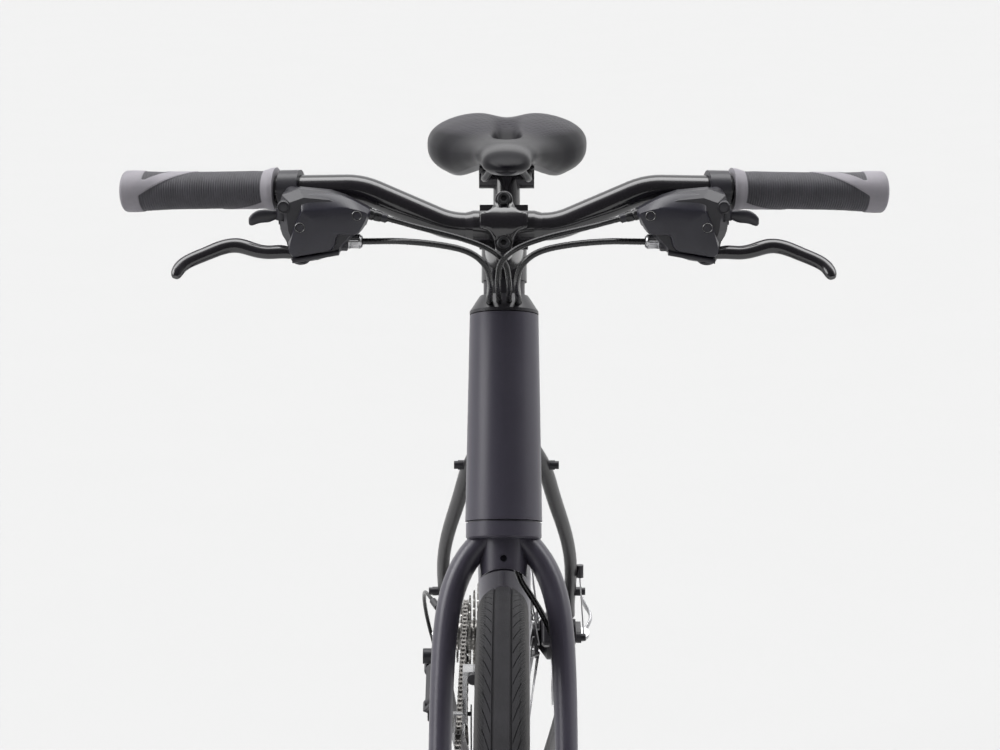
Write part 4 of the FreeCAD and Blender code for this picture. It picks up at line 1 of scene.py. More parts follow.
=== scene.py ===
import json
import math
import bpy
import numpy as np
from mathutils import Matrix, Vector


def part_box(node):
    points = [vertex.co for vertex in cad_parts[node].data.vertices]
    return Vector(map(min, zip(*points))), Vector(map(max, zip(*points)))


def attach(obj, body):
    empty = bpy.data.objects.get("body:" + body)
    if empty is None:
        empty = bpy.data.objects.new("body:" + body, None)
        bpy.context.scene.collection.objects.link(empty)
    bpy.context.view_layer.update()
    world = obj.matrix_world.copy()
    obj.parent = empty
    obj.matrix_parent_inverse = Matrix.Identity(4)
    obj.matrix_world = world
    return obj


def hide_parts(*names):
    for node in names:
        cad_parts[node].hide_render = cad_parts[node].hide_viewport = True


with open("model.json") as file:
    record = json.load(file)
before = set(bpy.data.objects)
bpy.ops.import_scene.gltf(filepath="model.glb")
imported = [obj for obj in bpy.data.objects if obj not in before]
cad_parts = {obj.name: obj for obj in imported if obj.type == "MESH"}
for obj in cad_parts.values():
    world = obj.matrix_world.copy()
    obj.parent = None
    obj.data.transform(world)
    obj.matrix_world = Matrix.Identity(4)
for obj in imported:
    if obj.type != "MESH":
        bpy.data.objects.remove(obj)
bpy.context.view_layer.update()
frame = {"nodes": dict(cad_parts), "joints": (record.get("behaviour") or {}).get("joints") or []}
nodes = frame["nodes"]
joints = {joint["name"]: joint for joint in frame["joints"]}
frontAxle = tuple(joints["front_wheel_spin"]["pos_m"])
rearAxle = tuple(joints["rear_wheel_spin"]["pos_m"])
crankAxle = tuple(joints["crank_spin"]["pos_m"])
print("frame loaded:", len(nodes), "nodes")

# Camera fitted to the photo: metres, radians, and the focal length in pixels of its width
camera = {"place": (0.0096, -2.4112, 1.2665), "pitch": 0.2055, "yaw": -0.0061, "focal": 2652.3,
          "width": 1000, "sensor": 36.0, "far": 200}
lens = bpy.data.cameras.new("photoView")
lens.sensor_width = camera["sensor"]
lens.lens = camera["focal"] / camera["width"] * camera["sensor"]
lens.clip_end = camera["far"]
eye = bpy.data.objects.new("photoView", lens)
eye.location = camera["place"]
eye.rotation_euler = (math.pi / 2 - camera["pitch"], 0, -camera["yaw"])
bpy.context.scene.collection.objects.link(eye)
bpy.context.scene.camera = eye
bpy.context.scene.view_settings.view_transform = "Standard"
print("camera placed")


# Small helpers for node trees
def startFinish(name):
    finish = bpy.data.materials.new(name)
    finish.use_nodes = True
    tree = finish.node_tree
    return finish, tree, tree.nodes["Principled BSDF"]


# A socket takes a link from another socket, or else a plain value
def connect(tree, socket, value):
    if isinstance(value, bpy.types.NodeSocket):
        tree.links.new(value, socket)
    else:
        socket.default_value = value


def addNode(tree, kind, sockets=(), **settings):
    node = tree.nodes.new("ShaderNode" + kind)
    for key, value in settings.items():
        setattr(node, key, value)
    for key, value in dict(sockets).items():
        connect(tree, node.inputs[key], value)
    return node


def objectPlace(tree, centre=(0, 0, 0), stretch=(1, 1, 1)):
    coords = addNode(tree, "TexCoord")
    shift = [-part * size for part, size in zip(centre, stretch)]
    mapping = addNode(tree, "Mapping", {"Vector": coords.outputs["Object"], "Location": shift,
                                        "Scale": stretch})
    return mapping.outputs["Vector"]


# Place square to an axle that lies across the bike, and the distance to that axle
def aboutAxle(tree, axle):
    flat = objectPlace(tree, centre=axle, stretch=(0, 1, 1))
    away = addNode(tree, "VectorMath", {"Vector": flat}, operation="LENGTH").outputs["Value"]
    return flat, away


def noiseAt(tree, place, scale, detail=3.0):
    noise = addNode(tree, "TexNoise", {"Vector": place, "Scale": scale, "Detail": detail,
                                       "Roughness": 0.55})
    return noise.outputs["Fac"]


def twoTones(tree, factor, dark, light, low=0.35, high=0.65):
    ramp = addNode(tree, "ValToRGB", {"Fac": factor})
    ramp.color_ramp.elements[0].position = low
    ramp.color_ramp.elements[1].position = high
    ramp.color_ramp.elements[0].color = (*dark, 1)
    ramp.color_ramp.elements[1].color = (*light, 1)
    return ramp.outputs["Color"]


def span(tree, factor, low, high, fromLow=0.25, fromHigh=0.75):
    ranged = addNode(tree, "MapRange", {"Value": factor, "From Min": fromLow, "From Max": fromHigh,
                                        "To Min": low, "To Max": high})
    return ranged.outputs["Result"]


def compute(tree, operation, first, second=0.0):
    node = addNode(tree, "Math", operation=operation)
    for socket, value in zip(node.inputs, (first, second)):
        connect(tree, socket, value)
    return node.outputs["Value"]


# A share of the first value and the rest of the second
def mixValues(tree, share, first, second):
    return compute(tree, "ADD", compute(tree, "MULTIPLY", first, share),
                   compute(tree, "MULTIPLY", second, 1 - share))


def mixTones(tree, factor, first, second):
    mix = addNode(tree, "Mix", data_type="RGBA")
    for socket, value in zip((mix.inputs[0], mix.inputs[6], mix.inputs[7]), (factor, first, second)):
        connect(tree, socket, (*value, 1) if isinstance(value, tuple) else value)
    return mix.outputs[2]


def raiseGrain(tree, shader, height, strength, distance):
    bump = addNode(tree, "Bump", {"Height": height, "Strength": strength, "Distance": distance})
    tree.links.new(bump.outputs["Normal"], shader.inputs["Normal"])


def feed(tree, shader, **sockets):
    names = {"tone": "Base Color", "rough": "Roughness", "metal": "Metallic", "shine": "Specular IOR Level"}
    for key, value in sockets.items():
        connect(tree, shader.inputs[names[key]], value)


# Satin frame paint: fine flake in the tone, orange peel in the surface
def makeFramePaint(name, dark, light):
    paint = {"flake": 2400.0, "cloud": 9.0, "flakeShare": 0.5, "peel": 340.0, "peelDepth": (0.06, 0.0004),
             "rough": (0.3, 0.38), "metal": 0.05, "shine": 0.5}
    finish, tree, shader = startFinish(name)
    place = objectPlace(tree)
    flake = noiseAt(tree, place, paint["flake"], 2.0)
    cloud = noiseAt(tree, place, paint["cloud"], 4.0)
    both = mixValues(tree, paint["flakeShare"], flake, cloud)
    feed(tree, shader, tone=twoTones(tree, both, dark, light), rough=span(tree, cloud, *paint["rough"]),
         metal=paint["metal"], shine=paint["shine"])
    raiseGrain(tree, shader, noiseAt(tree, place, paint["peel"], 2.0), *paint["peelDepth"])
    return finish


# Coated or bare metal: clouded tone, fine scratches along one heading in the roughness
def makeMetal(name, dark, light, rough, metal, grain=900.0, grainDepth=0.08, shine=0.5):
    coat = {"cloud": 30.0, "scratch": (40.0, 900.0, 900.0), "grainReach": 0.0003}
    finish, tree, shader = startFinish(name)
    place = objectPlace(tree)
    cloud = noiseAt(tree, place, coat["cloud"], 4.0)
    lines = noiseAt(tree, objectPlace(tree, stretch=coat["scratch"]), 1.0, 2.0)
    feed(tree, shader, tone=twoTones(tree, cloud, dark, light), rough=span(tree, lines, *rough),
         metal=metal, shine=shine)
    raiseGrain(tree, shader, noiseAt(tree, place, grain, 2.0), grainDepth, coat["grainReach"])
    return finish


# Turned metal: rings about a wheel axis, from the distance to the axle
def makeTurned(name, axle, dark, light, rough, metal):
    lathe = {"rings": 2600.0, "cloud": 45.0, "ringShare": 0.6, "ringDepth": (0.12, 0.0002)}
    finish, tree, shader = startFinish(name)
    away = aboutAxle(tree, axle)[1]
    ring = addNode(tree, "TexNoise", {"W": compute(tree, "MULTIPLY", away, lathe["rings"]), "Scale": 1.0,
                                      "Detail": 3.0}, noise_dimensions="1D").outputs["Fac"]
    cloud = noiseAt(tree, objectPlace(tree), lathe["cloud"], 4.0)
    both = mixValues(tree, lathe["ringShare"], ring, cloud)
    feed(tree, shader, tone=twoTones(tree, both, dark, light), rough=span(tree, ring, *rough), metal=metal)
    raiseGrain(tree, shader, ring, *lathe["ringDepth"])
    return finish


# Moulded plastic: spark-eroded grain and a faint cloud
def makeMoulded(name, dark, light, rough, grainDepth, grain=1600.0):
    mould = {"cloud": 25.0, "grainReach": 0.0004}
    finish, tree, shader = startFinish(name)
    place = objectPlace(tree)
    cloud = noiseAt(tree, place, mould["cloud"], 4.0)
    fine = noiseAt(tree, place, grain)
    feed(tree, shader, tone=twoTones(tree, cloud, dark, light), rough=span(tree, fine, *rough), metal=0.0)
    raiseGrain(tree, shader, fine, grainDepth, mould["grainReach"])
    return finish


# Tyre rubber: dark tread, paler sidewall below the shoulder, a knurl of crossed lines on the shoulder
def makeTyreRubber(name, axle):
    tyre = {"dark": (0.0068, 0.0064, 0.008), "light": (0.0108, 0.0102, 0.0125), "cut": (0.012, 0.012, 0.012),
            "cutShare": 0.55, "wall": (0.032, 0.0304, 0.0304), "wallDark": 0.86, "crown": 0.349,
            "knurl": 560.0, "lean": 3.6, "line": 0.5, "inner": (0.0118, 0.0126), "outer": (0.0164, 0.0172),
            "knurlLow": (0.3385, 0.3415), "wallHigh": (0.3375, 0.3435), "cloud": 40.0, "fine": 1300.0,
            "fineShare": 0.12, "rough": (0.52, 0.7), "depth": (0.8, 0.0009), "shine": 0.15}
    finish, tree, shader = startFinish(name)
    place = objectPlace(tree)
    side = compute(tree, "ABSOLUTE", addNode(tree, "SeparateXYZ", {"Vector": place}).outputs["X"])
    flat, away = aboutAxle(tree, axle)
    parts = addNode(tree, "SeparateXYZ", {"Vector": flat})
    turn = compute(tree, "ARCTAN2", parts.outputs["Z"], parts.outputs["Y"])
    arc = compute(tree, "MULTIPLY", turn, tyre["crown"])
    lean = compute(tree, "MULTIPLY", side, tyre["lean"])
    lattice = []
    for way in ("ADD", "SUBTRACT"):
        wave = compute(tree, "SINE", compute(tree, "MULTIPLY", compute(tree, way, arc, lean), tyre["knurl"]))
        lattice.append(span(tree, compute(tree, "ABSOLUTE", wave), 0.0, 1.0, 0.0, tyre["line"]))
    knurl = compute(tree, "MULTIPLY", *lattice)
    inner = span(tree, side, 0.0, 1.0, *tyre["inner"])
    outer = span(tree, side, 1.0, 0.0, *tyre["outer"])
    high = span(tree, away, 0.0, 1.0, *tyre["knurlLow"])
    shoulder = compute(tree, "MULTIPLY", compute(tree, "MULTIPLY", inner, outer), high)
    lines = compute(tree, "MULTIPLY", shoulder, compute(tree, "SUBTRACT", 1.0, knurl))
    pattern = compute(tree, "SUBTRACT", 1.0, lines)
    cloud = noiseAt(tree, place, tyre["cloud"], 4.0)
    fine = noiseAt(tree, place, tyre["fine"])
    tread = twoTones(tree, cloud, tyre["dark"], tyre["light"])
    wall = twoTones(tree, cloud, tuple(part * tyre["wallDark"] for part in tyre["wall"]), tyre["wall"])
    tone = mixTones(tree, span(tree, away, 1.0, 0.0, *tyre["wallHigh"]), tread, wall)
    tone = mixTones(tree, span(tree, pattern, tyre["cutShare"], 0.0, 0.0, 1.0), tone, tyre["cut"])
    feed(tree, shader, tone=tone, rough=span(tree, fine, *tyre["rough"]), shine=tyre["shine"])
    height = compute(tree, "ADD", compute(tree, "MULTIPLY", fine, tyre["fineShare"]), pattern)
    raiseGrain(tree, shader, height, *tyre["depth"])
    return finish


# Grip rubber: a dark ribbed sleeve and paler smooth plates, told apart by the piece's own attribute
def makeGripRubber(name):
    grip = {"sleeve": ((0.034, 0.0325, 0.04), (0.05, 0.048, 0.058)),
            "plate": ((0.21, 0.2, 0.222), (0.25, 0.238, 0.262)), "edge": (-0.12, 0.12),
            "cloud": 60.0, "fine": 2200.0, "rough": (0.5, 0.68), "depth": (0.2, 0.0003)}
    finish, tree, shader = startFinish(name)
    place = objectPlace(tree)
    cloud = noiseAt(tree, place, grip["cloud"], 4.0)
    fine = noiseAt(tree, place, grip["fine"])
    mask = addNode(tree, "Attribute", attribute_name="plate").outputs["Fac"]
    edge = span(tree, mask, 0.0, 1.0, *grip["edge"])
    tone = mixTones(tree, edge, twoTones(tree, cloud, *grip["sleeve"]), twoTones(tree, cloud, *grip["plate"]))
    feed(tree, shader, tone=tone, rough=span(tree, fine, *grip["rough"]))
    raiseGrain(tree, shader, fine, *grip["depth"])
    return finish


# Saddle cover: satin grained skin; its top towards the back is painted paler, a painted highlight of overhead
# light on the sitting pads, which have rows of small pressed dashes
def makeSaddleSkin(name):
    skin = {"dark": (0.0058, 0.0054, 0.0076), "light": (0.0092, 0.0086, 0.0116), "pad": (0.041, 0.039, 0.046),
            "dash": (0.014, 0.0135, 0.0155), "dashShare": 0.8, "rows": 1500.0, "across": 840.0, "stagger": 2.4,
            "rowEdge": (0.1, 0.7), "dashEdge": (-0.3, 0.4), "padAndPaintedLightHeight": (0.948, 0.954), "padAndPaintedLightFront": (0.3, 0.32),
            "cloud": 22.0, "fine": 900.0, "fineShare": 0.25, "rough": (0.26, 0.38), "depth": (0.35, 0.0005),
            "shine": 0.12}
    finish, tree, shader = startFinish(name)
    place = objectPlace(tree)
    parts = addNode(tree, "SeparateXYZ", {"Vector": place})
    rows = compute(tree, "MULTIPLY", parts.outputs["Y"], skin["rows"])
    row = compute(tree, "FLOOR", compute(tree, "DIVIDE", rows, 2 * math.pi))
    across = compute(tree, "ADD", compute(tree, "MULTIPLY", parts.outputs["X"], skin["across"]),
                     compute(tree, "MULTIPLY", row, skin["stagger"]))
    dash = compute(tree, "MULTIPLY", span(tree, compute(tree, "SINE", rows), 0.0, 1.0, *skin["rowEdge"]),
                   span(tree, compute(tree, "SINE", across), 0.0, 1.0, *skin["dashEdge"]))
    # Mask of the top above a set height, behind the nose: the pads get their pressed dashes here and are painted
    # paler as painted overhead light
    padsWithPaintedLight = compute(tree, "MULTIPLY", span(tree, parts.outputs["Z"], 0.0, 1.0, *skin["padAndPaintedLightHeight"]),
                   span(tree, parts.outputs["Y"], 0.0, 1.0, *skin["padAndPaintedLightFront"]))
    pressed = compute(tree, "MULTIPLY", dash, padsWithPaintedLight)
    cloud = noiseAt(tree, place, skin["cloud"], 4.0)
    fine = noiseAt(tree, place, skin["fine"])
    # The pale pad tone is painted overhead light on the saddle's top; the dashes laid over it are pressed marks
    tone = mixTones(tree, padsWithPaintedLight, twoTones(tree, cloud, skin["dark"], skin["light"]), skin["pad"])
    tone = mixTones(tree, compute(tree, "MULTIPLY", pressed, skin["dashShare"]), tone, skin["dash"])
    feed(tree, shader, tone=tone, rough=span(tree, fine, *skin["rough"]), shine=skin["shine"])
    height = compute(tree, "SUBTRACT", compute(tree, "MULTIPLY", fine, skin["fineShare"]), pressed)
    raiseGrain(tree, shader, height, *skin["depth"])
    return finish


# Dark tone, light tone, roughness and metal of each finish
finishes = {
    "framePaint": makeFramePaint("framePaint", (0.04, 0.0365, 0.052), (0.058, 0.0535, 0.073)),
    "stayPaint": makeFramePaint("stayPaint", (0.021, 0.02, 0.022), (0.032, 0.0305, 0.033)),
    "glossBlack": makeMetal("glossBlack", (0.007, 0.006, 0.0085), (0.011, 0.0098, 0.0125), (0.12, 0.2), 0.0,
                            grain=500.0, grainDepth=0.03, shine=0.9),
    "satinBlack": makeMetal("satinBlack", (0.016, 0.015, 0.0185), (0.026, 0.0245, 0.03), (0.28, 0.44), 0.1),
    "cogSteel": makeTurned("cogSteel", rearAxle, (0.34, 0.33, 0.32), (0.5, 0.49, 0.47), (0.28, 0.46), 1.0),
    "ringSteel": makeTurned("ringSteel", crankAxle, (0.016, 0.016, 0.017), (0.03, 0.03, 0.032),
                            (0.3, 0.5), 0.6),
    "silver": makeMetal("silver", (0.34, 0.34, 0.35), (0.5, 0.5, 0.51), (0.16, 0.3), 1.0),
    "brushedSteel": makeMetal("brushedSteel", (0.28, 0.28, 0.29), (0.42, 0.42, 0.43), (0.24, 0.42), 1.0),
    "chainSteel": makeMetal("chainSteel", (0.12, 0.115, 0.11), (0.24, 0.23, 0.22), (0.26, 0.46), 1.0),
    "darkSteel": makeMetal("darkSteel", (0.03, 0.03, 0.032), (0.05, 0.05, 0.053), (0.28, 0.44), 0.7),
    "plastic": makeMoulded("plastic", (0.014, 0.0132, 0.018), (0.022, 0.021, 0.0275), (0.3, 0.44), 0.12),
    "podSkin": makeMoulded("podSkin", (0.018, 0.0172, 0.025), (0.026, 0.0248, 0.035), (0.26, 0.36), 0.08),
    "jacket": makeMoulded("jacket", (0.007, 0.007, 0.008), (0.012, 0.012, 0.013), (0.2, 0.32), 0.05,
                          grain=700.0),
    "gripRubber": makeGripRubber("gripRubber"),
    "saddleSkin": makeSaddleSkin("saddleSkin"),
}
for end, axle in (("Front", frontAxle), ("Rear", rearAxle)):
    finishes["rimBlack" + end] = makeTurned("rimBlack" + end, axle, (0.012, 0.012, 0.013),
                                            (0.022, 0.022, 0.024), (0.3, 0.44), 0.2)
    finishes["rotor" + end] = makeTurned("rotor" + end, axle, (0.42, 0.42, 0.43), (0.6, 0.6, 0.61),
                                         (0.22, 0.4), 1.0)
    finishes["tyre" + end] = makeTyreRubber("tyre" + end, axle)
nodeFinishes = {
    "framePaint": ["head_tube", "top_tube", "down_tube", "seat_tube", "bottom_bracket_shell", "fork_legs",
                   "fork_steerer", "rear_dropouts"],
    "stayPaint": ["seat_stays", "chain_stays"],
    "glossBlack": ["stem", "handlebar", "seatpost", "left_brake_lever", "right_brake_lever", "crankset"],
    "satinBlack": ["frame_fittings", "rear_brake_caliper", "front_brake_caliper", "rear_brake_arm",
                   "front_brake_arm", "derailleur_mounts", "rear_derailleur_links", "rear_derailleur_body",
                   "rear_hub", "front_hub", "headset_cover"],
    "rimBlackFront": ["front_rim"],
    "rimBlackRear": ["rear_rim"],
    "rotorFront": ["front_rotor"],
    "rotorRear": ["rear_rotor"],
    "cogSteel": ["cassette"],
    "ringSteel": ["chainrings"],
    "silver": ["front_derailleur_cage", "rear_quick_release", "front_quick_release", "rear_axle",
               "front_axle"],
    "brushedSteel": ["rear_spokes", "front_spokes", "frame_bearings"],
    "chainSteel": ["chain"],
    "darkSteel": ["saddle_rails", "rear_derailleur_cage"],
    "plastic": ["control_bodies", "left_thumb_lever", "right_thumb_lever", "left_release_lever",
                "right_release_lever", "guide_pulley", "tension_pulley", "left_pedal", "right_pedal",
                "saddle_base"],
    "jacket": ["control_cables", "frame_cables"],
    "gripRubber": ["grips"],
    "tyreFront": ["front_tyre"],
    "tyreRear": ["rear_tyre"],
    "saddleSkin": ["saddle_cover"],
}
for finishName, members in nodeFinishes.items():
    for member in members:
        slots = nodes[member].data.materials
        for index in range(len(slots)):
            slots[index] = finishes[finishName]
        if not len(slots):
            slots.append(finishes[finishName])
dressed = {member for members in nodeFinishes.values() for member in members}
print("finishes given; bare nodes:", sorted(set(nodes) - dressed))


# A grid of points becomes quads: columns close into a ring, rows close too on a torus, ends may get caps
def gridFaces(grid, capped, torus, first):
    rows, columns = grid.shape[:2]
    index = np.arange(rows * columns).reshape(rows, columns) + first
    lower = index if torus else index[:-1]
    upper = np.roll(index, -1, 0) if torus else index[1:]
    quads = np.stack([lower, np.roll(lower, -1, 1), np.roll(upper, -1, 1), upper], -1).reshape(-1, 4)
    points = (grid - grid.mean((0, 1))).reshape(-1, 3)
    a, b, c, d = (points[quads[:, corner] - first] for corner in range(4))
    volume = np.einsum("ij,ij->", a, np.cross(b, c)) + np.einsum("ij,ij->", a, np.cross(c, d))
    ends = [index[0][::-1], index[-1]] if capped else []
    if volume < 0:  # faces look inwards, so all are turned
        quads = quads[:, ::-1]
        ends = [end[::-1] for end in ends]
    return quads.tolist() + [end.tolist() for end in ends]


def makePiece(name, grids, finish, body, replaced=(), capped=True, torus=False, sharp=40.0):
    faces = []
    first = 0
    for grid in grids:
        faces += gridFaces(grid, capped, torus, first)
        first += grid.shape[0] * grid.shape[1]
    mesh = bpy.data.meshes.new(name)
    mesh.from_pydata(np.concatenate([grid.reshape(-1, 3) for grid in grids]).tolist(), [], faces)
    mesh.shade_smooth()
    mesh.set_sharp_from_angle(angle=math.radians(sharp))
    mesh.materials.append(finishes[finish])
    piece = bpy.data.objects.new(name, mesh)
    bpy.context.scene.collection.objects.link(piece)
    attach(piece, body)
    if replaced:
        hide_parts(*replaced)
    return piece


# Directions square to an axis: the first is the nearest to up that is square to it
def crossWays(axis, up):
    axis = np.array(axis) / np.linalg.norm(axis)
    rise = np.array(up) - axis * np.dot(up, axis)
    rise = rise / np.linalg.norm(rise)
    return axis, rise, np.cross(axis, rise)


# Turned form: radius at each height, carried round an axis from the upward way; millimetres in, metres out
def turned(radius, height, centre, axis, sides, up=(0, 0, 1)):
    axis, rise, side = crossWays(axis, up)
    angle = np.linspace(0, 2 * math.pi, sides, endpoint=False)
    around = np.cos(angle)[:, None] * rise + np.sin(angle)[:, None] * side
    radius = np.broadcast_to(np.asarray(radius, float).reshape(len(height), -1), (len(height), sides))
    rings = radius[..., None] * around + np.asarray(height)[:, None, None] * axis
    return (np.array(centre) + rings) / 1000


def mirrored(grid):
    return grid * np.array([-1, 1, 1])


# Smooth curve through a table: a cubic with slopes from its neighbours, evaluated at any places
def smoothAt(places, knots, values):
    knots = np.asarray(knots, float)
    values = np.asarray(values, float)
    slopes = np.gradient(values, knots)
    index = np.clip(np.searchsorted(knots, places, side="right") - 1, 0, len(knots) - 2)
    width = knots[index + 1] - knots[index]
    share = (places - knots[index]) / width
    rest = 1 - share
    first = (1 + 2 * share) * rest ** 2 * values[index] + share * rest ** 2 * width * slopes[index]
    last = share ** 2 * (3 - 2 * share) * values[index + 1] - share ** 2 * rest * width * slopes[index + 1]
    return first + last


# Smooth closed outline through a table of corners, which is wrapped a few corners past both ends
def closedOutline(corners, columns):
    wrap = 4
    knots = np.arange(len(corners) + 2 * wrap + 1) - wrap
    places = np.linspace(0, len(corners), columns, endpoint=False)
    wrapped = np.array(corners)[knots % len(corners)]
    return np.stack([smoothAt(places, knots, wrapped[:, part]) for part in (0, 1)], -1)


def smoothStep(places, low, high):
    share = np.clip((places - low) / (high - low), 0, 1)
    return share * share * (3 - 2 * share)


# The bar's clamp in the stem: its middle in millimetres, the way it faces and the way up its face
barClamp = {"centre": (0.0, -350.52, 955.91), "reach": (0, -0.8986, 0.4388), "up": (0, 0.4388, 0.8986)}

# Cable routes in millimetres; places near the bar are counted from the middle of its clamp
cables = {
    "brakeRadius": 2.5,
    "shiftRadius": 2.2,
    "steps": 10,
    "sides": 5,
    "brakeStart": [(110.0, -366.62, 946.62), (101.0, -366.62, 946.62)],
    "brakePlaces": [(80.0, -28.0, -7.0), (50.0, -39.0, -8.0), (26.0, -46.0, -12.0), (13.0, -45.0, -23.0),
                    (10.0, -33.0, -38.0), (11.0, -3.0, -52.0), (11.5, 29.0, -62.0), (11.5, 45.0, -69.0)],
    "shiftStart": [(91.0, -366.62, 964.62), (82.3, -366.62, 962.3)],
    "leftShiftPlaces": [(62.0, -29.0, 3.0), (34.0, -38.0, -2.0), (10.0, -41.0, -10.0), (-3.0, -36.0, -22.0),
                        (-4.5, -24.0, -38.0), (-4.5, 2.0, -52.0), (-4.0, 29.0, -61.0), (-4.0, 42.0, -67.0)],
    "rightShiftPlaces": [(-62.0, -25.0, 2.0), (-34.0, -31.0, -4.0), (-11.0, -32.0, -12.0),
                         (2.0, -27.0, -24.0), (4.0, -16.0, -39.0), (4.5, 5.0, -53.0), (4.0, 29.0, -61.0),
                         (4.0, 42.0, -67.0)],
    "forkBrake": [(8.0, -352.21, 688.7), (11.0, -354.58, 672.6), (22.0, -350.96, 655.48),
                  (35.0, -352.59, 633.84), (44.5, -362.48, 609.74), (47.5, -377.77, 582.22),
                  (48.5, -396.94, 546.52), (50.0, -419.62, 506.74), (54.0, -437.55, 468.49),
                  (67.8, -425.15, 441.56), (67.8, -425.15, 423.56)],
    "rearShift": [(-84.51, 493.67, 398.09), (-90.0, 505.0, 402.0), (-96.0, 535.0, 398.0),
                  (-97.0, 565.0, 375.0), (-93.0, 580.0, 345.0), (-86.0, 572.0, 322.0), (-85.5, 560.0, 321.0),
                  (-85.5, 551.0, 321.0)],
    "lengths": {"brake": 209.0, "leftShift": 197.3, "rightShift": 185.5, "forkBrake": 298.0,
                "rearShift": 158.0},
    "wire": 0.8,
    "forkWire": [(67.8, -425.15, 423.56), (67.8, -425.15, 395.86)],
    "armWire": [(85.3, 421.16, 382.29), (84.39, 422.27, 395.41)],
    "frameWires": [[(84.39, 422.27, 395.41), (80.91, 426.49, 445.42)],
                   [(-33.0, 156.61, 427.94), (-20.0, 110.6, 299.0)]],
}


# Cable housings: one smooth spline through the route's control points, held at both ends
def makeCable(name, route, radius, body, replaced=()):
    curve = bpy.data.curves.new(name, "CURVE")
    curve.dimensions = "3D"
    spline = curve.splines.new("NURBS")
    spline.points.add(len(route) - 1)
    spline.points.foreach_set("co", np.c_[np.array(route) / 1000, np.ones(len(route))].ravel())
    spline.order_u = 3
    spline.use_endpoint_u = True
    curve.resolution_u = cables["steps"]
    curve.bevel_depth = radius / 1000
    curve.bevel_resolution = cables["sides"]
    curve.use_fill_caps = True
    curve.materials.append(finishes["jacket"])
    piece = bpy.data.objects.new(name, curve)
    bpy.context.scene.collection.objects.link(piece)
    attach(piece, body)
    if replaced:
        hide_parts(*replaced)


def fromBar(start, places, side=1):
    route = [(side * x, y, z) for x, y, z in start]
    return route + [tuple(np.add(barClamp["centre"], place)) for place in places]


# Bare wires: straight round rods, each from its start to its end
def makeWire(name, runs, body):
    grids = []
    for start, end in np.array(runs):
        reach = np.linalg.norm(end - start)
        grids.append(turned([cables["wire"]] * 2, [0, reach], start, end - start, 12, up=(1, 0, 0)))
    makePiece(name, grids, "brushedSteel", body)


rightBrakePlaces = [(-x, y, z) for x, y, z in cables["brakePlaces"]]
makeCable("left_brake_cable", fromBar(cables["brakeStart"], cables["brakePlaces"]), cables["brakeRadius"],
          "fork", ["control_cables"])
makeCable("right_brake_cable", fromBar(cables["brakeStart"], rightBrakePlaces, -1), cables["brakeRadius"],
          "fork")
makeCable("left_shift_cable", fromBar(cables["shiftStart"], cables["leftShiftPlaces"]), cables["shiftRadius"],
          "fork")
makeCable("right_shift_cable", fromBar(cables["shiftStart"], cables["rightShiftPlaces"], -1),
          cables["shiftRadius"], "fork")
makeCable("fork_brake_cable", cables["forkBrake"], cables["brakeRadius"], "fork")
makeCable("rear_shift_cable", cables["rearShift"], cables["shiftRadius"], "frame",
          ["frame_cables"])
makeWire("fork_brake_wire", [cables["forkWire"]], "fork")
makeWire("frame_wires", cables["frameWires"], "frame")
makeWire("rear_arm_wire", [cables["armWire"]], "rear_arm")  # the end that moves with the caliper arm
print("cables made")


# Tyre: a closed section carried round the axle. Its columns lean outwards beside the slick band, so each
# cross cut of the tread lies along a pair of columns, lowered by the depth of the cut
def makeTyre(name, axle, body, finish, replaced):
    tyre = {"crown": 0.349, "drop": 0.0075, "half": 0.0155, "power": 2.2, "pitches": 112,
            "steps": np.array([0.0, 0.03, 0.1, 0.13, 0.4, 0.7]), "cutColumns": [1, 2], "cut": 0.0011,
            "groove": (0.0058, 0.0070), "grooveDepth": 0.0013, "cutFrom": 0.0079, "cutTo": 0.0135,
            "lean": 0.029}
    tread = np.array([0.0, 2.5, 4.8, 5.6, 5.8, 7.0, 7.2, 7.6, 7.9, 8.6, 9.6, 11.0, 12.3, 13.3, 13.6, 14.4,
                      15.5]) / 1000
    crown = tyre["crown"] - tyre["drop"] * (tread / tyre["half"]) ** tyre["power"]
    crown -= tyre["grooveDepth"] * ((tread >= tyre["groove"][0]) & (tread <= tyre["groove"][1]))
    wall = np.array([(16.7, 339.9), (17.9, 337.6), (18.8, 335.0), (19.35, 332.4), (19.5, 330.0),
                     (19.3, 327.0), (18.5, 324.2), (17.0, 321.6), (15.0, 319.5), (12.8, 318.2),
                     (10.2, 317.4), (9.9, 314.0)]) / 1000
    side = np.concatenate([tread, wall[:, 0]])
    away = np.concatenate([crown, wall[:, 1]])
    side = np.concatenate([-side[:0:-1], side])
    away = np.concatenate([away[:0:-1], away])
    columns = (np.arange(tyre["pitches"])[:, None] + tyre["steps"]).ravel() / tyre["pitches"]
    isCut = np.isin(np.arange(len(columns)) % len(tyre["steps"]), tyre["cutColumns"])
    inCut = (np.abs(side) >= tyre["cutFrom"]) & (np.abs(side) <= tyre["cutTo"])
    reach = np.clip(np.abs(side) - tyre["groove"][1], 0, tyre["cutTo"] - tyre["groove"][1])
    lean = reach / (tyre["cutTo"] - tyre["groove"][1]) * tyre["lean"] / tyre["crown"]
    stagger = np.clip(side / tyre["groove"][0], -1, 1) * math.pi / tyre["pitches"] / 2
    angle = columns[None] * 2 * math.pi - lean[:, None] + stagger[:, None]
    radius = away[:, None] - tyre["cut"] * inCut[:, None] * isCut[None]
    grid = np.stack([np.broadcast_to(side[:, None], radius.shape), -np.sin(angle) * radius,
                     np.cos(angle) * radius], -1) + np.array(axle)
    makePiece(name, [grid], finish, body, [replaced], capped=False, torus=True, sharp=32.0)


makeTyre("front_tread", frontAxle, "front_wheel", "tyreFront", "front_tyre")
makeTyre("rear_tread", rearAxle, "rear_wheel", "tyreRear", "rear_tyre")
print("tyres made")


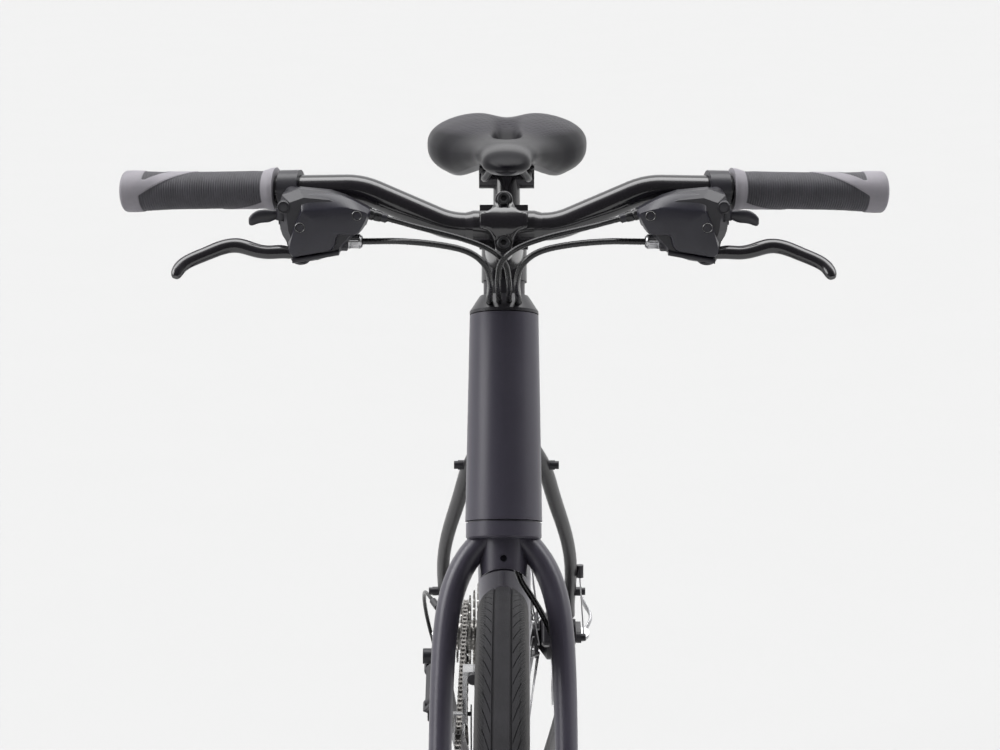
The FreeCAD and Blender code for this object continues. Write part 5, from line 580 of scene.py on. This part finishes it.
# Grip: a turned sleeve with fine rings; smooth plates over the end, the top, the inner flange and below stand
# a little proud, where the distance along the grip is less than a bound that changes with the angle from the
# top; a window is left in the top plate
def makeGrips():
    grip = {"end": (300.5, -304.82, 977.21), "heading": (0.98080, 0.19096, -0.04006), "length": 123.5,
            "rows": 300, "columns": 96, "pitch": 1.95, "rib": 0.42, "proud": 0.45, "blend": 0.7,
            "bore": 11.3, "hole": 12.5, "dome": 3.2,
            "sleeveAt": [0, 3.5, 8, 20, 60, 92, 108, 118, 123.5],
            "sleeve": [16.9, 16.6, 15.2, 15.0, 14.9, 15.2, 15.9, 16.3, 16.2],
            "topPlate": {"end": 13.5, "reach": 46, "turn": 95},
            "lowPlate": {"end": 9.5, "reach": 36, "from": 125, "turn": 55},
            "window": {"from": 15.5, "to": 38, "taper": 20, "turn": 48, "slope": 0.3}}
    topPlate, lowPlate, opening = grip["topPlate"], grip["lowPlate"], grip["window"]
    along = np.linspace(0, grip["length"], grip["rows"])
    angle = np.linspace(0, 2 * math.pi, grip["columns"], endpoint=False)
    turn = np.degrees(np.abs((angle + math.pi) % (2 * math.pi) - math.pi))[None]
    fromEnd = (grip["length"] - along)[:, None]
    fromStart = along[:, None]
    sleeve = smoothAt(along, grip["sleeveAt"], grip["sleeve"])
    upper = topPlate["end"] + topPlate["reach"] * np.clip(1 - turn / topPlate["turn"], 0, 1) - fromEnd
    lowShare = np.clip((turn - lowPlate["from"]) / lowPlate["turn"], 0, 1)
    lower = lowPlate["end"] + lowPlate["reach"] * lowShare - fromStart
    taper = opening["taper"] * np.clip(turn / opening["turn"], 0, 1)
    window = np.minimum(np.minimum(fromEnd - opening["from"], opening["to"] - taper - fromEnd),
                        (opening["turn"] - turn) * opening["slope"])
    inside = np.minimum(np.maximum(upper, lower), -window)
    plate = np.clip(inside / grip["blend"] + 0.5, 0, 1)
    ribs = grip["rib"] * (0.5 + 0.5 * np.cos(2 * math.pi * along / grip["pitch"]))[:, None]
    radius = sleeve[:, None] + grip["proud"] * plate + (1 - plate) * (ribs - grip["rib"])
    dome = np.linspace(0, math.pi / 2, 7)[1:]
    capRadius = grip["hole"] + (radius[-1].mean() - grip["hole"]) * np.cos(dome)
    capHeight = grip["length"] + grip["dome"] * np.sin(dome)
    rows = np.concatenate([np.full((1, grip["columns"]), grip["bore"]), radius,
                           np.repeat(capRadius[:, None], grip["columns"], 1)])
    heights = np.concatenate([[0.0], along, capHeight])
    mask = np.concatenate([inside[:1], inside, np.ones((len(dome), grip["columns"]))])
    start = np.array(grip["end"]) - np.array(grip["heading"]) * grip["length"]
    left = turned(rows, heights, start, grip["heading"], grip["columns"])
    piece = makePiece("hand_grips", [left, mirrored(left)], "gripRubber", "fork", ["grips"],
                      sharp=60.0)
    plateMask = piece.data.attributes.new("plate", "FLOAT", "POINT")
    plateMask.data.foreach_set("value", np.tile(mask.ravel(), 2))


makeGrips()
print("grips made")


# Saddle pad: across each station a rounded section, broad at the back and narrow at the nose, domed at both
# ends; a hollow is pressed into its top, two pads rise beside it and the underside is drawn up between two
# lobes. Saddle shell: a thin closed sheet that follows the pad's underside
def makeSaddle():
    pad = {"rows": 170, "columns": 160, "evenShare": 0.3, "noseDome": 0.1, "tailDome": 0.13, "tip": 0.004,
           "topPower": 2.3, "lowPower": 2.7, "widest": 0.47, "behind": (0.5, 0.72), "lobe": 0.13,
           "draw": 0.03, "drawn": (0.14, 0.72), "hollow": 0.021, "hollowHalf": 0.0125,
           "hollowFront": (0.515, 0.585), "hollowBack": (0.6, 0.86), "hollowBow": 0.08, "bowHalf": 0.016,
           "dip": 0.007, "dipHalf": 0.021, "shell": 0.78, "shellHalf": 0.0018, "shellEnds": 12,
           "halves": [17.0, 23.5, 25.8, 26.8, 28.8, 34.0, 44.8, 58.0, 73.0, 82.0, 82.6, 66.0],
           "tops": [946.0, 952.0, 953.5, 952.8, 951.0, 949.8, 950.5, 954.0, 960.5, 966.0, 969.0, 962.0],
           "floors": [931.0, 929.5, 929.0, 928.0, 926.5, 924.0, 918.0, 910.5, 905.0, 903.5, 907.0, 928.0]}
    low, high = (np.array(corner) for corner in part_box("saddle_cover"))
    stations = np.linspace(0, 1, len(pad["halves"]))
    even = np.linspace(0, 1, pad["rows"])
    along = (0.5 - 0.5 * np.cos(even * math.pi)) * (1 - pad["evenShare"]) + even * pad["evenShare"]
    half, top, floor = (smoothAt(along, stations, pad[table]) / 1000 for table in ("halves", "tops", "floors"))
    nose = np.clip(1 - along / pad["noseDome"], 0, 1)
    tail = np.clip(1 - (1 - along) / pad["tailDome"], 0, 1)
    dome = np.maximum(np.sqrt(1 - nose ** 2) * np.sqrt(1 - tail ** 2), pad["tip"])[:, None]
    behind = smoothStep(along, *pad["behind"])[:, None]
    middle = (floor + (top - floor) * pad["widest"])[:, None]
    wide = half[:, None] * dome
    tall = (top[:, None] - middle) * dome
    deep = (middle - floor[:, None]) * dome * (1 + pad["lobe"] * behind)

    def underside(x):
        share = np.clip(np.abs(x) / wide, 0, 1)
        depth = (1 - share ** pad["lowPower"]) ** (1 / pad["lowPower"])
        drawn = pad["draw"] * behind * dome * (1 - smoothStep(share, *pad["drawn"]))
        return middle - deep * depth + np.minimum(drawn, deep * depth)

    angle = np.linspace(0, 2 * math.pi, pad["columns"], endpoint=False)
    cosine, sine = np.cos(angle)[None], np.sin(angle)[None]
    power = np.where(sine > 0, pad["topPower"], pad["lowPower"])
    x = wide * np.sign(cosine) * np.abs(cosine) ** (2 / power)
    rise = np.abs(sine) ** (2 / power)
    edge = along[:, None] - pad["hollowBow"] * np.clip(np.abs(x) / pad["bowHalf"], 0, 1) ** 2
    hole = smoothStep(edge, *pad["hollowFront"]) * (1 - smoothStep(along, *pad["hollowBack"]))[:, None]
    press = pad["hollow"] * hole * np.exp(-(x / pad["hollowHalf"]) ** 4)
    press = press + pad["dip"] * behind * dome * np.exp(-(x / pad["dipHalf"]) ** 2)
    z = np.where(sine > 0, middle + tall * rise - press * rise, underside(x))
    y = low[1] + (high[1] - low[1]) * np.broadcast_to(along[:, None], x.shape)
    piece = makePiece("saddle_pad", [np.stack([x, y, z], -1)], "saddleSkin", "seat",
                      ["saddle_cover"], sharp=75.0)
    shellX = pad["shell"] * wide * cosine
    shellZ = underside(shellX) + pad["shellHalf"] * sine
    shell = np.stack([shellX, y, shellZ], -1)[pad["shellEnds"]:-pad["shellEnds"]]
    makePiece("saddle_shell", [shell], "plastic", "seat", ["saddle_base"], sharp=50.0)


makeSaddle()
print("saddle made")


# Shifter cover: rings through two outlines, the rim and the face with a sloping brow above it, closed towards
# the middle. Screws and caps are turned forms; the plate below is a rounded strip through three places
def makePodCovers():
    pod = {"back": -371.0, "rim": -375.5, "face": -383.6, "crown": -384.4, "columns": 150,
           "rims": [(157.5, 981.5), (152, 984.6), (146, 985.3), (138, 985.2), (130, 984.4), (123, 982.6),
                    (116, 979.6), (109.5, 976), (104, 972.6), (103.6, 968.8), (106, 963), (109.6, 957),
                    (114, 953.2), (120.5, 953), (127, 952.6), (129.4, 946), (133, 940.4), (138.5, 939.2),
                    (146, 937.8), (155, 936.2), (163, 935), (167.3, 939), (167.6, 945), (166, 952),
                    (163.5, 960), (160.5, 968), (158.3, 975.5)],
           "faces": [(155.2, 972.4), (150.5, 973.2), (146, 973.2), (138, 974), (130, 975), (123, 975.2),
                     (116, 974.4), (110, 973), (105.6, 971.2), (105.4, 968.7), (107.6, 963.6), (111, 958.2),
                     (114.8, 954.8), (121, 954.6), (128.6, 953.8), (131.2, 946.6), (134.4, 942.2), (139, 941),
                     (146.3, 939.8), (155, 938.3), (162, 937.3), (165.3, 940), (165.6, 945.2), (164, 951.6),
                     (161.4, 959.4), (158.4, 966.4), (156.3, 970.6)],
           "centre": (136.0, 957.0),
           "screws": [(157.4, 959.9), (113.3, 969.2)], "screwSink": 0.8,
           "screwRadii": [4.0, 4.0, 3.6, 3.2, 2.9, 2.2, 1.9, 0.2],
           "screwHeights": [0, 1.6, 2.0, 1.7, 0.9, 0.9, 0.7, 0.7],
           "cap": (170.0, 975.4), "capProud": 0.2,
           "capRadii": [4.9, 4.9, 4.4, 4.1, 4.1, 3.7, 3.4, 0.3],
           "capHeights": [0, 9.0, 9.6, 9.6, 8.9, 8.9, 9.5, 9.8],
           "plate": [(163.8, 933.4), (150.0, 935.8), (127.5, 939.8)], "plateAt": -377.0,
           "plateHalf": (5.2, 2.1), "plateRound": 0.5, "plateColumns": 28}
    rim, face = (closedOutline(pod[table], pod["columns"]) for table in ("rims", "faces"))
    centre = np.array(pod["centre"])
    levels = [(rim, pod["back"]), (rim, pod["rim"] + 0.8), (rim * 0.985 + centre * 0.015, pod["rim"]),
              (rim * 0.12 + face * 0.88, pod["face"] + 0.75), (face * 0.995 + centre * 0.005, pod["face"]),
              (face * 0.96 + centre * 0.04, pod["face"] - 0.15), (face * 0.5 + centre * 0.5, pod["crown"]),
              (face * 0.05 + centre * 0.95, pod["crown"])]
    cover = np.stack([np.stack([ring[:, 0], np.full(len(ring), depth), ring[:, 1]], -1)
                      for ring, depth in levels]) / 1000
    makePiece("shifter_covers", [cover, mirrored(cover)], "podSkin", "fork", sharp=28.0)
    screws = []
    for x, z in pod["screws"]:
        screw = turned(pod["screwRadii"], pod["screwHeights"], (x, pod["face"] + pod["screwSink"], z),
                       (0, -1, 0), 36)
        screws += [screw, mirrored(screw)]
    makePiece("shifter_screws", screws, "glossBlack", "fork")
    cap = turned(pod["capRadii"], pod["capHeights"],
                 (pod["cap"][0], pod["back"] - pod["capProud"], pod["cap"][1]), (0, -1, 0), 40)
    makePiece("shifter_caps", [cap, mirrored(cap)], "plastic", "fork")
    angle = np.linspace(0, 2 * math.pi, pod["plateColumns"], endpoint=False)
    roundY, roundZ = (np.sign(wave) * np.abs(wave) ** pod["plateRound"] * half
                      for wave, half in zip((np.cos(angle), np.sin(angle)), pod["plateHalf"]))
    strip = np.stack([np.stack([np.full(len(angle), x), pod["plateAt"] + roundY, z + roundZ], -1)
                      for x, z in pod["plate"]]) / 1000
    makePiece("shifter_plates", [strip, mirrored(strip)], "plastic", "fork", sharp=50.0)


# Radii with flutes cut at the marked heights, a cosine round the axis; six columns to a flute
def fluted(radii, marked, count, depth):
    angle = np.linspace(0, 2 * math.pi, count * 6, endpoint=False)
    return np.array(radii)[:, None] - depth * np.array(marked)[:, None] * (0.5 - 0.5 * np.cos(angle * count))


# Barrel adjusters: a fluted silver sleeve in a ribbed nut where the housing leaves the brake lever, and a
# stepped boot at the shifter, each a radius at every height carried round its axis
def makeAdjusters():
    sleeve = {"start": (121.5, -366.62, 946.62), "flutes": 20, "flute": 0.35,
              "heights": [0.0, 0.0, 0.6, 1.4, 2.0, 7.8, 8.4, 9.4, 11.2, 11.5],
              "radii": [2.6, 5.3, 5.8, 5.8, 5.6, 5.6, 5.8, 5.8, 4.6, 3.2],
              "fluted": [0, 0, 0, 0, 1, 1, 0, 0, 0, 0]}
    nut = {"start": (129.0, -366.62, 946.62), "flutes": 14, "flute": 0.7,
           "heights": [0.0, 0.0, 0.8, 1.2, 6.4, 6.8, 7.5, 7.5],
           "radii": [3.0, 6.6, 7.4, 7.6, 7.6, 7.4, 6.8, 3.0],
           "fluted": [0, 0, 0, 1, 1, 0, 0, 0]}
    boot = {"start": (106.5, -366.62, 968.75), "way": (-0.9662, 0, -0.2577), "columns": 40,
            "heights": [0.0, 0.0, 1.0, 5.0, 6.0, 7.0, 11.0, 12.0, 15.5, 17.0],
            "radii": [2.4, 4.1, 4.5, 4.5, 3.9, 4.3, 4.1, 3.6, 3.2, 2.5]}
    for name, form, finish, slot in (("brake_adjusters", sleeve, "silver", "silver_alloy"),
                                     ("adjuster_nuts", nut, "plastic", "black_plastic")):
        radius = fluted(form["radii"], form["fluted"], form["flutes"], form["flute"])
        grid = turned(radius, form["heights"], form["start"], (-1, 0, 0), radius.shape[1])
        makePiece(name, [grid, mirrored(grid)], finish, "fork", sharp=50.0)
    grid = turned(boot["radii"], boot["heights"], boot["start"], boot["way"], boot["columns"])
    makePiece("shift_boots", [grid, mirrored(grid)], "jacket", "fork", sharp=50.0)


# Stem bolts: round heads with a rim and a six-sided socket, the socket a radius that changes with the angle
def makeStemBolts():
    bolt = {"seat": 12.25, "apart": 18.0, "columns": 48,
            "radii": [5.4, 5.4, 5.0, 4.8, 4.8, 4.3, 3.3, 2.7, 2.6, 0.2],
            "heights": [-0.6, 0.9, 1.2, 1.2, 4.4, 4.9, 4.9, 4.7, 2.2, 2.2],
            "sixSided": [0, 0, 0, 0, 0, 0, 0, 1, 1, 0]}
    angle = np.linspace(0, 2 * math.pi, bolt["columns"], endpoint=False)
    hexagon = np.cos(math.pi / 6) / np.cos((angle + math.pi / 6) % (math.pi / 3) - math.pi / 6)
    radius = np.array(bolt["radii"])[:, None] * (1 + np.array(bolt["sixSided"])[:, None] * (hexagon - 1))
    heads = []
    for side in (1, -1):
        seat = np.array(barClamp["centre"]) + np.array(barClamp["reach"]) * bolt["seat"]
        seat = seat + np.array(barClamp["up"]) * bolt["apart"] * side
        heads.append(turned(radius, bolt["heights"], seat, barClamp["reach"], bolt["columns"]))
    makePiece("stem_bolt_heads", heads, "darkSteel", "fork")


# Stem faceplate: rings of one star-shaped outline, bent round the bar clamp and flat under the two bolts
def makeFaceplate():
    plate = {"radius": 19.3, "bossPlane": 12.8, "columns": 160,
             "outline": [(0, 25.4), (3.7, 24.4), (6.2, 21.6), (7.0, 17.6), (8.2, 12.8), (11.0, 8.6),
                         (15.4, 6.6), (18.2, 5.6), (18.6, 0), (18.2, -5.6), (15.4, -6.6), (11.0, -8.6),
                         (8.2, -12.8), (7.0, -17.6), (6.2, -21.6), (3.7, -24.4), (0, -25.4)],
             "rings": [(1.0, -5.0), (1.0, -0.9), (0.985, -0.3), (0.955, 0.0), (0.8, 0.0), (0.65, 0.0),
                       (0.5, 0.0), (0.35, 0.0), (0.2, 0.0), (0.05, 0.0)]}
    outline = plate["outline"] + [(-u, v) for u, v in plate["outline"][-2:0:-1]]
    size, lift = np.array(plate["rings"]).T
    flat = size[:, None, None] * closedOutline(outline, plate["columns"])
    bend = np.sqrt(np.clip(plate["radius"] ** 2 - flat[..., 1] ** 2, plate["bossPlane"] ** 2, None))
    depth = bend + lift[:, None]
    ways = (np.array((1, 0, 0)), np.array(barClamp["up"]), np.array(barClamp["reach"]))
    grid = np.array(barClamp["centre"]) + flat[..., :1] * ways[0] + flat[..., 1:] * ways[1]
    grid = (grid + depth[..., None] * ways[2]) / 1000
    makePiece("stem_faceplate", [grid], "glossBlack", "fork", sharp=35.0)


makePodCovers()
makeStemBolts()
makeFaceplate()
makeAdjusters()
print("small fittings made")


# Pale floor and soft suns
def makeStage():
    stage = {"half": 60.0, "pale": (0.424, 0.424, 0.424), "darker": 0.995, "grain": 3.0, "rough": 0.9,
             "shine": 0.0}
    corners = np.array([(-1, -1, 0), (1, -1, 0), (1, 1, 0), (-1, 1, 0)]) * stage["half"]
    mesh = bpy.data.meshes.new("floor")
    mesh.from_pydata(corners.tolist(), [], [(0, 1, 2, 3)])
    floor = bpy.data.objects.new("floor", mesh)
    bpy.context.scene.collection.objects.link(floor)
    finish, tree, shader = startFinish("paleFloor")
    cloud = noiseAt(tree, objectPlace(tree), stage["grain"])
    dark = tuple(part * stage["darker"] for part in stage["pale"])
    feed(tree, shader, tone=twoTones(tree, cloud, dark, stage["pale"]), rough=stage["rough"],
         shine=stage["shine"])
    mesh.materials.append(finish)


def makeSun(name, toLight, strength, spread):
    light = bpy.data.lights.new(name, "SUN")
    light.energy = strength
    light.angle = math.radians(spread)
    lamp = bpy.data.objects.new(name, light)
    lamp.rotation_euler = Vector(toLight).to_track_quat("Z", "Y").to_euler()
    bpy.context.scene.collection.objects.link(lamp)


# Studio surround: dark in front, brighter behind and at both sides, with a long soft box overhead from side
# to side that fades out above the horizon
def makeWorld():
    sky = {"front": 0.1, "back": 1.2, "frontToBack": (-0.55, 0.6), "sides": 0.12, "sidePower": 3.0,
           "box": 4.6, "boxAt": 0.15, "boxHalf": (0.2, 0.36), "boxEnds": (0.2, 0.45)}
    world = bpy.data.worlds.new("studio")
    bpy.context.scene.world = world
    world.use_nodes = True
    tree = world.node_tree
    coords = addNode(tree, "TexCoord")
    parts = addNode(tree, "SeparateXYZ", {"Vector": coords.outputs["Generated"]})
    behind = span(tree, parts.outputs["Y"], sky["front"], sky["back"], *sky["frontToBack"])
    sideways = compute(tree, "POWER", compute(tree, "ABSOLUTE", parts.outputs["X"]), sky["sidePower"])
    beside = compute(tree, "MULTIPLY", sideways, sky["sides"])
    tilt = compute(tree, "ARCTAN2", parts.outputs["Y"], parts.outputs["Z"])
    away = compute(tree, "ABSOLUTE", compute(tree, "SUBTRACT", tilt, sky["boxAt"]))
    softBox = compute(tree, "MULTIPLY", span(tree, away, sky["box"], 0.0, *sky["boxHalf"]),
                      span(tree, parts.outputs["Z"], 0.0, 1.0, *sky["boxEnds"]))
    total = compute(tree, "ADD", compute(tree, "ADD", behind, beside), softBox)
    tree.links.new(total, tree.nodes["Background"].inputs["Color"])


makeStage()
makeWorld()
makeSun("keySun", toLight=(-1.0, -0.24, 0.55), strength=1.35, spread=38)
makeSun("fillSun", toLight=(0.95, 0.05, 0.7), strength=0.12, spread=44)
print("stage and lights made")
